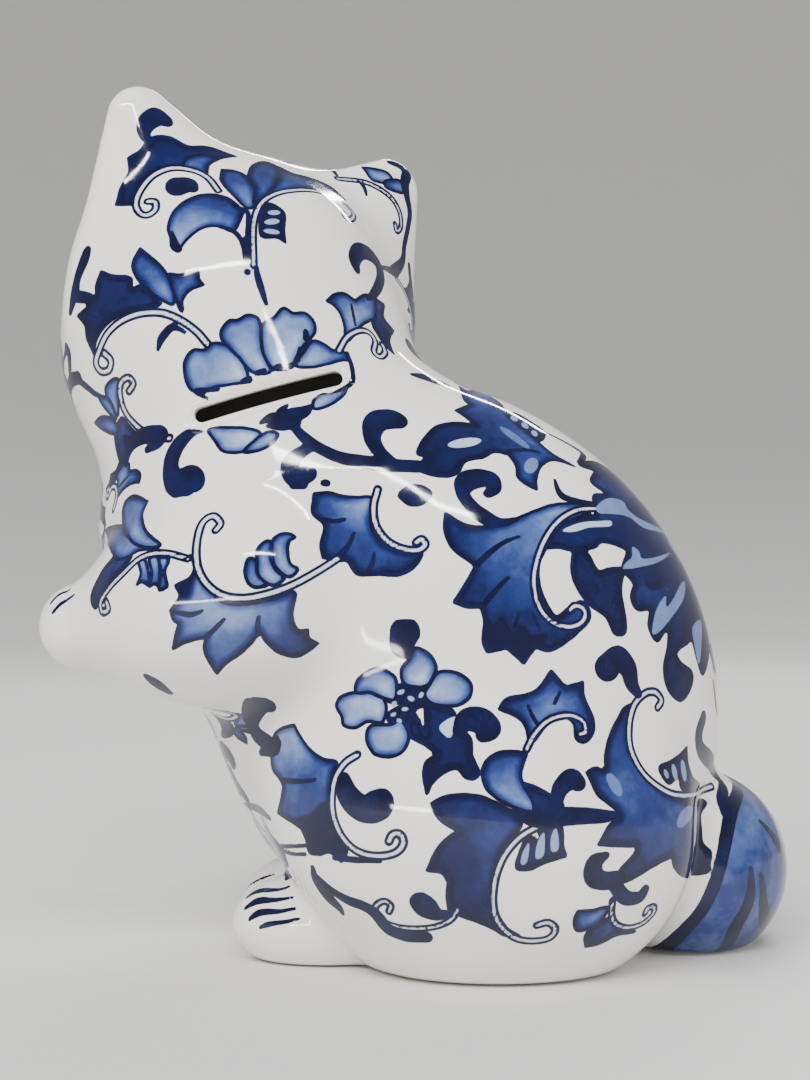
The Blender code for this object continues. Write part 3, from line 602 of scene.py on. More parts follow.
# ---------------------------------------------------------- the painted drawing
# Each motif is a few shapes in millimetres on the flat drawing, in rows of kind and tones | points.
# d, p, q, r are washes, each over the last, with their tone at the first point and at the far end.
# g is a soft dark shade, s a pale stem with its half width, w an overlay of one tone, and k a solid
# brush stroke of x, z and radius. "o" makes an oval of x, z, two radii and a turn in degrees. A "!"
# marks a sharp corner. An indented row carries on the one above it.
DRAWING = """
# ear comma
k | -60.8 198.6 1.6, -63.2 199.6 2.3, -65.6 198 2.1, -66.2 195.4 1.4, -64.6 193.2 1
# ear leaf
d .8 1 | -59.5 187.2, -65 185, -68 181, -69 178.2!, -72.9 178.2!, -71.9 182, -69.8 186, -70 189.5!,
  -67 191.4, -64.6 194.4, -60 194.6, -55.4 192.4, -50 192.1, -44 190!, -48 189.3, -50.7 187.6, -51 185!,
  -55 187
p .45 .8 | -57 187.2!, -56 189.4, -52 190.4, -48.5 189.6!, -50.7 187.6, -51 185!, -54 186.6
s .55 | -48.2 181.6, -50.8 184.8, -54.5 186.6, -59.5 187.1, -64 185.3, -67 181.8, -68.2 178.5, -67.2 176.2,
  -65.3 175.7, -63.5 177, -63.6 178.9, -65.3 179
k | -58 182.6 2.9, -55.6 183 2.2, -54.2 182 1.1
# trumpet left
p .1 .75 | -57.8 167!, -55.8 169.8, -52 172.6, -48 173, -44.5 171.8, -42 176.5!, -45.5 179.6, -50 180.8,
  -55 179.8, -59 176.5, -60.3 172
q .35 .75 | -41.5 177.5, -45 181, -47.5 184, -47.3 186.8!, -44 186.4, -41.3 185, -39.3 181.5, -39.5 178
r .55 .8 | -39.6 178.5, -39.2 182, -41 185.2!, -40 187.6, -37 188.7, -33.8 187.3, -33.8 184, -36 181
k | -59.6 171.5 .4, -58.8 168.4 1.0, -57.9 167.4 .9
k | -48 172.9 .35, -44.5 171.7 .5, -42.3 169 .6, -41.3 165.2 .8
k | -41 165 .6, -41.2 171 .4, -41 176 .5, -42.5 177.2 .5, -44.5 178 .3
# trumpet right
d .5 1 | -36 180.5, -33.5 184.5, -33.6 187.5!, -30 185.8, -25.5 184.6, -21 182.6, -17.5 179.4!, -21 180.6,
  -25 181.9, -30 182, -34 181
s .5 | -39.6 163.5, -39.8 170, -39.4 175, -37.6 178.8, -34 181, -29 181.8, -24 181.4, -20 180, -17 177.8,
  -15.4 175.8, -16.2 174.6, -17.6 175.2, -18 176.6
d .9 1 | -37.8 170.6, -34 170.2, -32 169!, -32.3 172, -32.2 176, -34 177.8, -36.5 178.4, -38 175
w .15 o | -34.7 176.3 1.6 .6 0
w .15 o | -35.2 174.1 1.9 .7 5
w .15 o | -35.3 171.7 2 .6 -8
k | -39 163 .5, -38.6 160.5 .7, -37.5 157 .7, -36.5 153.8 .3
k | -41.2 161.9 .7, -41 161.6 .5
k | -33 188.6 .4, -28 188.2 .8, -22 187 .8, -19.5 185.3 .4
# right ear
k | -6.8 188.5 .6, -4 187.5 1.1, -2.6 186 1.6, -3 183.5 1.4, -2.5 180 1, -1.8 176 .9, -2.4 172 .8,
  -3.2 168 .8, -3.6 164.5 1.1, -5.6 162 1.7
p .15 .5 | -6 183.3, -7 185.8, -10.5 187, -13.4 187.3!, -11.5 184.8, -9.8 183.8
q .3 .6 | -3.6 181, -7.5 182.3, -7.7 184, -4.5 184.2, -3 182.6
s .4 | -19.5 184.6, -14 184, -9.5 182.3, -6 179.5, -4.2 176, -4 172.8, -5 171.8, -5.4 173.5
k | -14.3 184 .3, -13 182.6 .5, -12.3 180.5 .3
k | -2 163.5 .7, -1.6 159.5 1, -1 156 .6
# nape comma and bell
k | -14.6 162.4 1, -15.2 165 1.9, -13.8 167 2.2, -11 165.8 2.3, -9.2 163 2, -9 159.8 1.6, -10.4 156.8 1.2,
  -12 155.4 .5
k | -8.5 163 .5, -6 162 1.2
p .25 .7 | -13.5 149, -17 145, -17.7 149, -18.8 152, -20.5 154, -22 154.8!, -20 156.5, -17.5 156.6,
  -15 155!, -12.5 156.4, -10.2 155.5!, -10.2 151
d .7 1 | -10.2 155.5!, -8 154!, -8.2 151, -5.8 147.8!, -6.8 145.5, -5.7 142!, -7.8 144, -9.5 146.5,
  -11 149.5, -10.6 152.5
k | -16 154 .25, -15.4 151 .3, -15 149 .25
s .5 | -19 142.8, -17 146.1, -14 147.7, -11.5 147.1, -10.2 145, -10.5 142.6, -9 141.3, -7.8 142.5,
  -8.5 144.3
# cheek comma
k | -80 167 1.1, -80.8 164.5 1.4, -82.4 160 1.2, -83 156.5 1.5, -84 152 .7
k | -82.5 156 1.4, -79.5 155.5 1.2, -78.5 155 .8
# leaf b
d .85 1 | -69 158, -66.5 158.5, -62 154.4, -66 152.9, -71 151.8, -75 149.3, -77.6 145.5, -78.2 141.8!,
  -80 146, -80.4 149, -82.2 151.3!, -79.8 153.6, -81.5 156!, -78 156.2, -77.8 158.5, -76.5 162!, -74 161,
  -69.5 160.5
p .35 .75 | -59.5 154, -64 156.5, -67.5 160, -69 163.5, -67.2 167.6!, -64.5 165.5, -61.5 162.5, -59.8 159.5,
  -58.8 156
q .3 .7 | -57.5 153, -59 157, -60.3 161.5!, -57 161.3, -53.2 162.5!, -52.8 160, -51.8 158.8!, -55 157.5,
  -57 155, -56.8 152.5
s .6 | -50.8 144.4, -53.5 147.5, -57.5 150.3, -62 152, -67 151.8, -71.5 150.1, -75 147, -77 142.8,
  -77.8 139.8, -76.5 137.8, -74.6 138.2, -74.2 140.5, -75.8 142.2
k | -62.8 143 .3, -62 145.5 .8, -60.5 147.6 .9, -58.5 149.4 .5
k | -60.3 147.9 .4, -58 148.2 .5, -56.2 147.2 .3
# peony left
p .12 .4 | -41 135.6, -44 134.8, -49 134, -52.5 132.8, -55 133.6, -56.3 137, -56.2 140.5, -54.2 143,
  -51.5 143, -49.5 144.6, -46.5 144.3, -44 142.5, -41.8 139.5
q .12 .45 | -35.5 137.6, -39.8 137.5, -43.5 141.5, -46.8 144.8, -47.6 147.5, -45.6 150, -43.5 150.2,
  -41 151.5, -38.5 150.6, -37.8 147.5, -37.6 143.5, -36.3 140
r .15 .45 | -32.5 138.2, -35 138.5, -37 141.5, -37.8 145.5, -37.4 149.2, -34.7 150.8, -32.5 153.2,
  -30 151.9, -27.3 152, -25 149.8, -24.9 147, -27.5 144, -29.6 140.5, -30.2 138.8
k | -40.8 135.8 .8, -42.3 135.3 .5
k | -38.6 137.4 .7, -37 138 .5
k | -50.8 131.2 .3, -53.5 133 .5, -48 133.4 .35
# peony right
q .2 .55 | -26 138.8, -29.5 139.2, -27.5 142.5, -25.3 145.2, -22.5 144.4, -20.5 143, -17.9 142.6,
  -16.8 140.5, -18 140.5, -22 139.5
k | -27 147.5 .5, -26.8 145.8 .8
k | -29 140.5 .5, -28.4 143.5 .3
k | -30 139.6 .5, -31.5 138.8 .6, -33.5 139.2 .4, -35 138.2 .5
k | -17 142.4 .35, -15.9 139 .45, -15.6 135.5 .5, -17 134.3 .6
p .12 .35 | -25.3 129, -24.8 131.2, -22.5 132.8, -20.5 132.9, -17 134.4, -18 132, -20.5 130, -23.5 128.8
# peony lower
p .12 .35 | -41 124, -46 124.2, -50.8 124.2, -49 121, -47 118.5, -43 118.2, -39.5 119.8, -38 122.8
q .15 .45 | -33.6 122.5, -35.6 120, -38.5 118.6, -42 118.3, -39 121.4, -36 123.2
k | -38 125.3 .3, -35.5 126.5 1.1, -33 126.5 1.6, -30 127.3 1.7, -27.5 128 1.4, -25.6 129.5 .4
k | -33 128.3 .8, -31.5 129.8 .4
k | -36 124.6 .5, -32.5 124.5 1.1, -29.5 125.4 1.2
# leaf c
k | -82 136.3 1.5, -83.8 135.4 1.5, -84 132.5 1.2, -82.6 128.5 .8
k | -83 136.6 1.1, -80.5 134.5 .9, -78 132.4 .7, -75.8 131.6 .4
q .3 .6 | -72.8 126.2, -74.5 127.6, -76.6 130.3, -77.3 132!, -75 131.4, -73.5 129
p .2 .5 | -72.5 127, -74.5 130, -75.5 133.5, -73.8 135.8, -72 135.5, -72.3 131
r .4 .7 | -72.5 122.7, -75.5 123.3, -78 125.2!, -76.3 126.8, -73.5 126.2
d .7 1 | -71.6 126.5, -73.2 122.4, -72.3 117, -70.5 113.4!, -69.6 117.5, -67.5 120.3, -65.5 121.6!,
  -68 122.8, -70 125
s .5 | -59.8 121.6, -64 122.1, -67.5 124.2, -70.4 127.5, -71.8 131.5, -71.8 134.8, -70 136.3, -68.7 134.8,
  -69.8 132.9
# big comma
k | -52.5 123.6 .4, -55.2 122.6 1.3, -58.3 119.2 2, -59.7 114.5 2.1, -58.4 111 2.8, -55.7 110.7 4.3
# chest edge
k | -77.2 115 1, -76.8 111 1.3, -76.9 107.5 1.1, -76.4 104 1, -75.5 101 .9
# scroll stem
k | -30 124.5 .9, -27 121.5 1.2, -23 118.8 1.3, -18 116.8 1.4, -13 116 1.5, -8 115.3 1.7, -4 115 1.5,
  0 114.8 1.5
k | -25 119.4 .7, -28.5 118 1.4, -31 114.8 1.8, -29.3 112.2 2.3, -26.2 113 1.7
k | -30 110.2 .8, -27.4 110.2 .8
k | -6 116 1, -9.3 118.5 1.5, -11 122 1.9, -10 125.5 2.7, -6.8 126.3 2.8, -4.8 125.9 2.3
k | -22.6 110.8 .7, -21.8 110.7 .7
k | -3.3 107.8 1.2, -0.5 107.8 2.6, 2.2 108.3 1.2
k | -1.3 137 .5, 2 136.3 1.5, 5 135.2 1.6, 7.2 134.4 .8
# back leaf
d 1 .5 | 2 117, 0 114.2, 5 112.4, 9.5 113, 11.5 116, 16 117, 18.5 118.3, 22 117.6!, 23.8 115, 24.4 112,
  27 110, 28.8 109.2!, 28.7 112, 30 115, 33 116.3, 38 114.8!, 33 117.6, 30 120, 26 123.5, 22 127,
  19.5 130.5, 14.8 134!, 12.5 133, 10.2 134.2!, 11.3 131, 12.8 129.7!, 9.2 128.3!, 11.5 126.8, 14 124.7!,
  10 125.4, 5 124.6, 1.6 121.5, 0 118
w .02 o | 11.4 120.5 4.1 1.1 8
w .35 o | 27.5 115 2 1.6 60
w .4 o | 23.5 121.8 4.5 .8 -36
k | 22 118.5 .4, 26 118.8 .4, 29.5 118.2 .3
# back dots
k | 17 108.2 1, 18.6 109.6 1.5, 18.2 111.6 1.7, 15.5 112 2.3, 12 111.2 2.5, 11 108.4 1.5, 13.2 105 1.5,
  16.5 102.4 1.7, 20 101.2 1.1, 24 102 .4
# back bud
d .9 1 | 21.3 127.6, 24 127.6, 27.5 125.6, 30.5 123.4, 30.3 121.5, 28.3 121, 25 124
w .2 o | 23.4 126.4 1 .6 -30
w .2 o | 26 124.7 1 .6 -35
w .2 o | 28.3 122.8 .9 .6 -40
k | 30.5 123.2 .3, 36 120.5 .5, 40 117.8 .8, 39 115.6 .5
# leaf d
p .25 .9 | -11 107, -14.5 107.3, -18 107.6, -21.5 108.5, -25 108.2!, -25.3 103.5, -22.5 100.5, -23.3 96,
  -22.8 92.7!, -19.5 92, -16.8 91.8, -14.5 88.8, -9 88.7, -4.5 88.5, -1 90.3, 1.2 93.6, -1 94, -4.5 94.5,
  -8.5 96.2, -11.3 101
k | -17.5 102 .3, -20 101.5 .4, -22.7 101.8 .5
k | -15.3 98.8 .25, -16.5 96 .4, -18.5 93.4 .7
k | -10.5 94 .25, -10.8 91.5 .35, -12 89.2 .5
s .55 | -9.6 109.3, -10.6 105, -10 100.5, -7.3 96.8, -3.5 94.9, 0.2 94.6, 1.9 95.9, 1 97.2, -.3 96.4
# shell
p .2 .5 | -36 86.2, -39.5 85.6, -41.5 87.8, -41.5 91, -40.5 92.7, -38.5 91.5, -38.3 88.5
q .15 .5 | -35 86, -38.3 88.3, -38.8 92, -38.5 95, -36.5 96.8, -35.3 96.3, -35.5 92.5, -34 89.5, -32 87.8
r .15 .5 | -31 88, -34.5 91, -35.2 96.3, -33.3 98.3, -30.8 98.5, -29.5 97.7!, -31 96.5, -31.3 93.5,
  -30.5 91, -28.8 90
# leaf e
p .25 .85 | -46.5 81.8, -41 81.6, -35 82.7, -29.6 84.5, -30.3 79, -29 75.3, -26.5 75.3!, -26.3 73.4,
  -24 72!, -26.5 70, -29.5 68.8, -33.5 69.8, -36.5 72.5, -38.3 75.5!, -39.2 73.3, -42.5 69.8, -46.5 67,
  -48.4 64.7!, -51.3 70, -51 73.6!, -56 72.3, -59 70.7!, -57.5 76.9!, -58.8 77.6, -59.6 80!, -57.3 83.3,
  -58.5 86!, -54.5 88.3, -53.3 92, -52.4 88.5, -50.3 85
g .95 1 | -53.6 91.5, -56 91, -58.4 86!, -55.5 82.5, -53.8 86
k | -46.5 78 .25, -48.5 76 .4, -51 73.5 .5
k | -38.3 78.5 .3, -38.6 76.5 .45, -38.6 74.8 .4
k | -59.2 79.8 .4, -55 79 .5, -51.8 79.9 .25
s .6 | -19.3 92.5, -24 89.5, -30 86.2, -36 84, -42 82.9, -47 83.6, -51 86.5, -53.2 91, -53.2 97,
  -51.8 101.3, -49.3 102.8, -47.6 101, -48.7 99.4
# leaf f
p .35 .8 | -62.5 95.3, -67 94.5, -72 92.3, -74.3 95.5, -75.3 99, -71.5 100.5, -70.2 99
q .2 .6 | -62 95.6, -65.5 99, -66.5 103, -65.2 106.3!, -68.5 107.7, -71 105.5, -71.2 101.5, -70 98,
  -67 95.5
d .8 1 | -69 93.3, -72 94.2, -74.6 91.6, -76.5 89, -78.8 83.5, -77.6 80.6, -74.5 86.3, -71 90.3
p .15 .5 | -66 92.6, -67.4 91.8, -66.8 89, -67.7 86.3!, -66.5 87, -64.7 86, -65 89.5
q .15 .5 | -62.8 92.8, -64.8 92.6, -64.2 89, -64.7 85.7!, -63.2 86.5, -62.3 85.5, -62.2 89.5
r .15 .5 | -60 92.3, -62.3 92.6, -62 89, -62.5 85.2, -61.5 85, -60.3 85.8!, -61 89.5
s .5 | -55.5 92.5, -60 93.7, -64 93.7, -67.5 92.3, -71 89, -74.5 85.3, -76.5 82, -76.1 79.6, -74.6 80.3,
  -75.1 82
# paw claws
k | -83 83.7 .3, -85.5 82 .4, -88 79.5 .4
k | -84 85 .3, -86.5 83.8 .4, -88.5 81.8 .3
# belly dot
k | -65 63.8 1.1, -62.8 62.2 1.8, -60 60.2 1
# acanthus g
p .35 .95 | 34 101.5, 37 101.8, 42 104, 42 105.3, 37 105.9, 32 105.3, 27 103.5, 22 101.3, 17 100.2,
  11.5 100.7, 6.8 103.5!, 6.6 99.5, 8.5 95, 14 90.8!, 12.3 87.5, 8.8 82!, 12 80.8, 15.3 80.8!, 16.2 77.5,
  15.8 73, 16.8 69.9!, 19.5 70.5, 21.5 71!, 24 68.8, 25.6 67.2!, 27.2 69.5, 28.5 71.2!, 32 70.3, 36 72.5,
  39.5 75.5, 41.5 78, 41.3 80.5, 39.5 82.2, 36.5 80.5, 33.5 78.5, 31 82, 29.3 87, 29.6 92, 32.5 97.5
g .9 1 | 31 74, 28.5 71.2!, 25.6 67.2!, 24 68.8, 21.5 71!, 16.8 69.9!, 15.8 73, 16.2 77.5, 18.5 76, 20.5 78,
  23 74, 25 76.5, 28 73.5
k | 24.5 97.8 .25, 21 96.5 .4, 17.5 94 .5, 14.3 91 .6
k | 22 88 .3, 19.5 85.5 .4, 16 81.5 .6
k | 24.5 79.5 .25, 23.5 76 .4
k | 28 79 .3, 29.5 75.5 .4
s .5 | 43 104.6, 38.5 104.2, 34 101.5, 30.5 96.5, 28.4 90, 28.3 84.5, 30.2 79.5, 33.5 76.7, 37.5 76.1,
  40.2 77.8, 40.1 80.4, 38 81.1, 36.8 79.9
k | 36.5 101.2 .3, 39 102.4 .4, 42 103 .4
k | 33.2 111.6 .3, 34 109 .7, 35.5 107.3 .9, 39 106.5 .5, 42.5 105.9 .4
# cluster h upper
d .8 1 | 45 108, 42.5 107.5, 42.8 103, 38 102.4, 34 101, 31.8 98.3, 30.5 95.2, 34 95.2, 37.5 94.5,
  40.7 94.8, 43 95.4, 44.8 96.6, 49.8 95, 50.5 93.5, 49.5 90, 51.5 87.5, 54 84, 58 86, 62 84, 65 85,
  67.5 84, 65 91, 61 98.5, 56 104.5, 50 111, 44 115.5, 39 115.3, 43 113.6!, 42 111, 45.5 108.3!
w .03 | 35 99.2, 38 99, 41.5 100, 46.5 100.3, 46.8 101.6, 44 101.6, 40 101.3, 37 100.4
w .3 | 43.2 105, 46 107.1, 49.6 106.4, 51.2 104, 55 101.5, 60.3 98, 55.5 99.6, 51 102.6, 46.5 103.3,
  44 103.5
w .3 | 49.6 90, 50.4 91.6, 51.8 93, 51.9 95.4, 53.6 94.2, 54.4 92.5, 58 93, 61.3 94, 58.5 91.8, 54 90.5
k | 46 116.5 .4, 51 112.4 .3, 57 105 .3
# cluster h lower
d .85 1 | 46 90, 43.6 89.6, 41 93.8, 38 94.8, 37.3 89, 39.5 84, 42 81, 45.5 78.5, 47.5 74.5, 50 74.5,
  50.2 78, 49.2 84, 49.5 88, 50.5 90, 48.3 90.2
d .8 1 | 57 86, 53.5 89, 52.3 86, 51.6 83, 53 80.2, 56 80, 55.8 76, 57.8 72.6, 60.2 75.5, 60.5 72, 59.5 66,
  60.5 61, 63.5 58.2, 66 61.5, 66.3 65, 63.5 67.5, 62.6 70, 65 72, 66.3 72.5, 67.5 68, 69 64.7, 70.4 72,
  69.4 77.5, 67.4 84, 64 90, 60 90
w .3 | 56.6 75, 57.8 80.5, 60 83.6, 60.3 80.8, 63.5 86.3, 64.6 86.8, 64.3 83, 61.5 78.5, 58 74.5
w .3 | 66.4 76, 68.4 77.6, 68.6 72, 67.9 67, 66.9 71.5
k | 45.8 66.2 3, 48.4 68.8 2.4, 50.8 66.3 2.2, 51.7 62.5 1.7, 53.2 60 1.1
k | 71.4 63 .4, 71.9 58 .7, 72.3 55 .4
# flower left
p .1 .4 | -7.5 56.5, -8.5 59, -11.5 60.2, -15 60.2, -18.3 59.3, -19.6 57, -18.3 54.5, -17.8 52.3, -15 51.7,
  -12 53.2, -8.5 53
q .12 .45 | -5.5 58.5, -8.5 59, -11.5 60.2, -14.8 60.3, -14.2 63.5, -10 66, -6 64.5, -5 62
r .12 .45 | -4 53.5, -6.5 52.5, -11.3 52.2, -12.3 49, -10.5 45.5, -7 44.7, -3.5 46, -2 50
# flower right
p .12 .45 | 0 61.5, -3.3 62.5, -3.8 66, -1.8 68.5, -0.5 71, 2.8 69.5, 4.5 66.5, 3.8 64, 2.5 62
q .1 .4 | 1.8 60, 3.2 62.5, 5 65, 8 65.3, 11 64.2, 13 62, 12.5 59, 10 57.2, 6 57, 3 57.8
d 1 1 | -2 58, -7 58, -5.3 61.6, 0 62.3, 3 60, 3.3 57.6, -1 55.8, -2.6 51, -5.6 51.8, -7.2 55
w .15 o | -4 60.3 1 .6 20
w .15 o | -1.5 58.7 1 .6 -30
w .15 o | -5.7 57.4 .9 .6 50
w .15 o | -3 56.2 .9 .5 0
w .15 o | -5.8 54.9 .8 .5 20
w .15 o | 0.9 59.6 1 .5 60
w .15 o | -4.4 53.4 .8 .5 -20
k | -3 74.7 3.2, -3.8 71.6 2.4, -2.4 69.4 1
# flower leaf
d .85 1 | 2 50, -1 55.5, -2.5 50.5, -0.5 48.8!, 2 47.5, 4.8 45.2!, 2.2 43.5, 1.5 40, 2.3 35.8!, 3.5 38.3,
  6.5 41, 9.5 41.9, 11.5 39.8, 13.5 39.3!, 14.9 40.5, 14 43, 13 45.5, 12.8 49, 10 52, 8.5 55.8, 5 56.8,
  2 56.5
k | 10 51 1.3, 11.8 53.6 2.2, 15 53.5 2.8, 17.3 51.5 2.4, 15.8 49.9 1.5
w .02 | 5.2 51.6, 7.5 49.2, 8.6 50.5, 9.8 54.3, 7 53.6
# thigh comma
k | -36.7 57.2 2.3, -38.8 57.4 2.8, -40.2 53.5 2.1, -38.6 50 2.1, -35.8 48.3 1.5
# leaf i
p .25 1 | -29.7 52.3!, -28.5 50, -26 46.5, -23 44.3, -19.5 43.4, -20.5 40, -21 36, -20.8 31, -19 27,
  -17 24.3, -17.3 20.8, -18.5 19.5!, -20 21, -21.5 21.8, -23.5 21.2!, -26 21.6, -26.8 24.5, -28 27.5!,
  -30.5 29.2, -33.7 31.2!, -33 34, -32.5 37.5, -33.3 39.5, -35 42, -35.2 46, -34.5 50, -32 51.8
k | -24.5 39.2 .25, -28 38.8 .4, -32.5 39 .6
g .9 1 | -20.4 33, -23 33.5, -26 30.5, -30.5 29.4, -28 27.3, -26.8 24.5, -26 21.6!, -23.5 21.2, -21.5 21.8!,
  -18.5 19.7!, -17.3 20.8, -17 24.3, -19 27
s .55 | -14.5 45.2, -17.5 43.2, -19.8 39.5, -20.6 34.5, -20 29.5, -17.8 25, -14.5 22, -10 20.8, -5.5 21.5,
  -3.4 23.8, -4.1 26, -6 26, -6.9 24.3
k | -17.8 39.3 1.5, -16.8 35.5 2.5, -13.5 32.4 2.8, -10 32.7 3.2, -8.7 34.3 2.4, -11.3 35.3 .9
k | -20 20.5 .6, -15 19.9 .6, -9 19.6 .4
# lower edge leaf
k | -42.3 33.7 .3, -38 31.9 1.1, -35.5 29.9 .4
k | -40.8 32.8 .4, -37.5 27.5 .4, -34.5 24 .4, -30 23.2 .35, -26.8 23.4 .35
k | -37 28 .3, -35 24.8 .35, -32 21.9 .35, -27 21.3 .35
# leaf m
k | -25.2 18 .6, -24.4 15 1.2, -21.5 11 1.6, -19 8.5 1.1, -18 6.9 .4
k | -24 15.5 .8, -20.5 12.5 .9, -17 10.3 1.2, -13 8.8 1.3, -10 6.8 1.5, -7 3.3 1.6, -3 1.8 1.7, 2 1.4 1.5
s .4 | -6.9 7.4, -6.4 9, -8 10, -9.9 9, -10 7.4, -8.4 5.4, -5 3.9, 0 3.4, 4.5 3.9, 8 5.5, 9.8 8
k | 0.8 9.6 2.4, 2.1 8.5 2.6, 4.6 6.8 1.5, 7.3 7 .8
# hind toes
k | -30.8 13.6 .15, -34 12.7 .4, -38.5 12.4 .7, -41 11 .4
k | -30 10.9 .2, -34 10.3 .45, -38.5 10 .8, -41.5 8.3 .4
k | -29.3 8.2 .2, -33.5 7.5 .4, -38 7.2 .7, -40.5 5.6 .3
k | -28.5 5.8 .2, -32 5 .35, -36 4.4 .45, -38 3.6 .2
k | -41.3 12.6 .1, -38.5 15 .2, -34.5 16.4 .1
# leaf tulip
q .4 .9 | 33 54, 31.5 53.2, 27.5 48, 26.3 51.5, 24.5 54, 19.8 56.2!, 21.5 58.6, 27 59.9, 29.5 61.5,
  32.3 65.4!, 34.8 62.5, 36 61.5!, 39.9 62.7!, 40.2 59, 42.3 54, 42.3 50.5, 40.5 48.3, 38.3 49, 37.8 52.5,
  35.5 54.4
s .45 | 26.3 46.5, 28.5 50.5, 32 53.7, 36.5 54.7, 39.8 53.4, 40.6 50.8, 39.2 50.2
k | 29 52.5 .4, 27.5 55 .35, 26.8 57 .25
k | 34.5 60.5 .25, 33 57.5 .3
# lily
p .2 .75 | 28 31.5, 22.5 32.8, 17.5 36, 15.6 40, 16.5 43.5, 19.5 45.7, 24 46, 26.3 45.3!, 25 41, 25.5 38,
  27.5 34.5
d .85 1 | 27 32.5, 25.3 38.5!, 28.5 37.4, 32 35.5, 35 33.4, 34 30.6, 30 30.2
k | 33.3 33 1.3, 34.4 37 1.7, 37 39.4 2.1, 38.6 38.5 1.8
k | 22 31.8 .4, 28 29.5 1.4, 34 30.2 1.9, 40 30.5 1.7, 45 30.4 1.3, 48.3 30.6 .7
# acanthus k
d .65 1 | 25 29, 22.9 31.5!, 17 34.6, 12 35.6, 7 35.2, 3.4 33.6!, 4.6 30.6, 7 28.4, 10 26.8!, 7 25,
  4.2 21.5, 2.4 17.3!, 5.8 16.8, 7.4 14.6!, 7.2 11, 7.6 7.5!, 11.5 6, 14.5 5, 18 3.5, 21 1.8, 24.5 1.5,
  21.5 3.5, 19.3 7, 18.6 12.5, 19.2 18.5, 21.3 23.5, 24.5 27.3
s .5 | 29.5 28.2, 24.8 25.4, 21 21, 18.8 15.5, 18.2 9.5, 19.5 4.8, 23 1.4, 27 0.4, 31.5 1, 33.2 3.2,
  31.5 4.8, 28.8 4.2
d .9 1 | 30 24, 26.5 25.7, 25 22.3, 23.9 19, 24.4 17.6, 27.5 17.7, 29.6 18.8, 33 20, 35.8 20.8!, 35 23.5,
  34.8 27.5, 33 29, 29 28.5
w .2 | 24.9 18.9, 25.3 21.5, 26.8 24, 26.8 21.5, 26.2 19
w .2 | 28.5 20.3, 28.9 24, 30.5 26.6, 30.7 23, 30.2 20.6
w .2 | 32.3 22, 32.1 25, 33.2 27.6, 33.9 26, 34 22.4
k | 45.5 21 .7, 42.8 19.3 1.7, 42.5 16 2.2, 45 14.9 2, 48.5 15.5 1.7
# leaf n
k | 47 15.2 1.6, 48.7 12.2 1.6, 50.7 10.6 1.6, 53.5 11 1.4, 54.8 12.7 1.1
p .35 .7 | 46 8.5, 42 7.8, 38.6 7.6!, 37.8 5.5, 38.3 3, 41 3.2, 44 5
d .7 1 | 47 6, 43.5 4.8, 40.5 2, 40.5 -1!, 44 -.2, 48 1.8, 52.5 2.6, 49 3.2
s .45 | 47 10.2, 46.8 6.5, 48 4.3, 51 3.6, 54.5 4.8, 56.9 7.2, 56.9 8.6, 55.5 8.3, 54.8 7
# acanthus l
d .55 1 | 57 38.2, 53.7 42.5, 51.3 47, 51 52, 52.2 57, 50 56.5, 48.5 54, 46.5 50, 45.3 45, 45.2 41.6, 43 42,
  40.8 41!, 42 38.5, 43.5 35.5, 46 33.5, 49 30.7, 46.5 28.5, 45 26, 43.7 23.6!, 48 23.3, 53 23.2!, 52 21,
  48.5 17, 49 14.6, 52 15.5, 57 18.5, 61.3 20.8!, 62 18, 64.5 16, 67.5 16.5, 70.3 19.5, 70.5 22!, 68.5 24,
  68.3 27, 68.2 31, 69 34.2, 65 34.1, 61 35.3
s .55 | 57.9 56.6, 58.9 58.2, 57.5 60.2, 55 60, 52.4 57.3, 51.1 52.3, 51.5 46.5, 54.1 41.3, 58 37.6,
  62.5 35.5, 67 35.7, 71 37.6
d .9 1 | 63 40, 60.5 38.3, 58.3 42, 61 43.5, 63.5 45.3, 65 47!, 65.3 43, 66.5 39.5, 68 37.6, 64 36.8
w .2 o | 60 40.6 .5 1.2 20
w .2 o | 62 41 .6 2.1 12
w .2 o | 64.2 41.4 .6 2.7 8
w .35 o | 64.5 30.3 3 1.4 60
w .4 o | 47.5 38 1.3 3.2 30
k | 69 54.3 1.4, 67.9 50 1.7, 68.5 46 1.9, 71 43 1.8, 73 39 1.2, 73.5 34.5 1.4, 74.6 31 1.4
# tail strokes
k | 80.3 17.7 .6, 79.8 9.7 1.7, 76.7 3.7 2, 73.8 -1.6 1.8
k | 82.7 16.3 .6, 83.4 8.1 1.7, 82 .8 2, 80.3 -2.3 1.4
k | 82.7 29.1 .6, 87.5 22.5 1.8, 89.9 14.6 2, 89.2 10.5 1
k | 77.9 39.5 .5, 84.4 33.2 1.2, 90.7 25 1.5
k | 80.3 36.3 .4, 86.3 29.6 .9, 90.7 21.8 .8
k | 88.5 8 .8, 87.5 3 2, 85.3 -1.2 1.6
"""
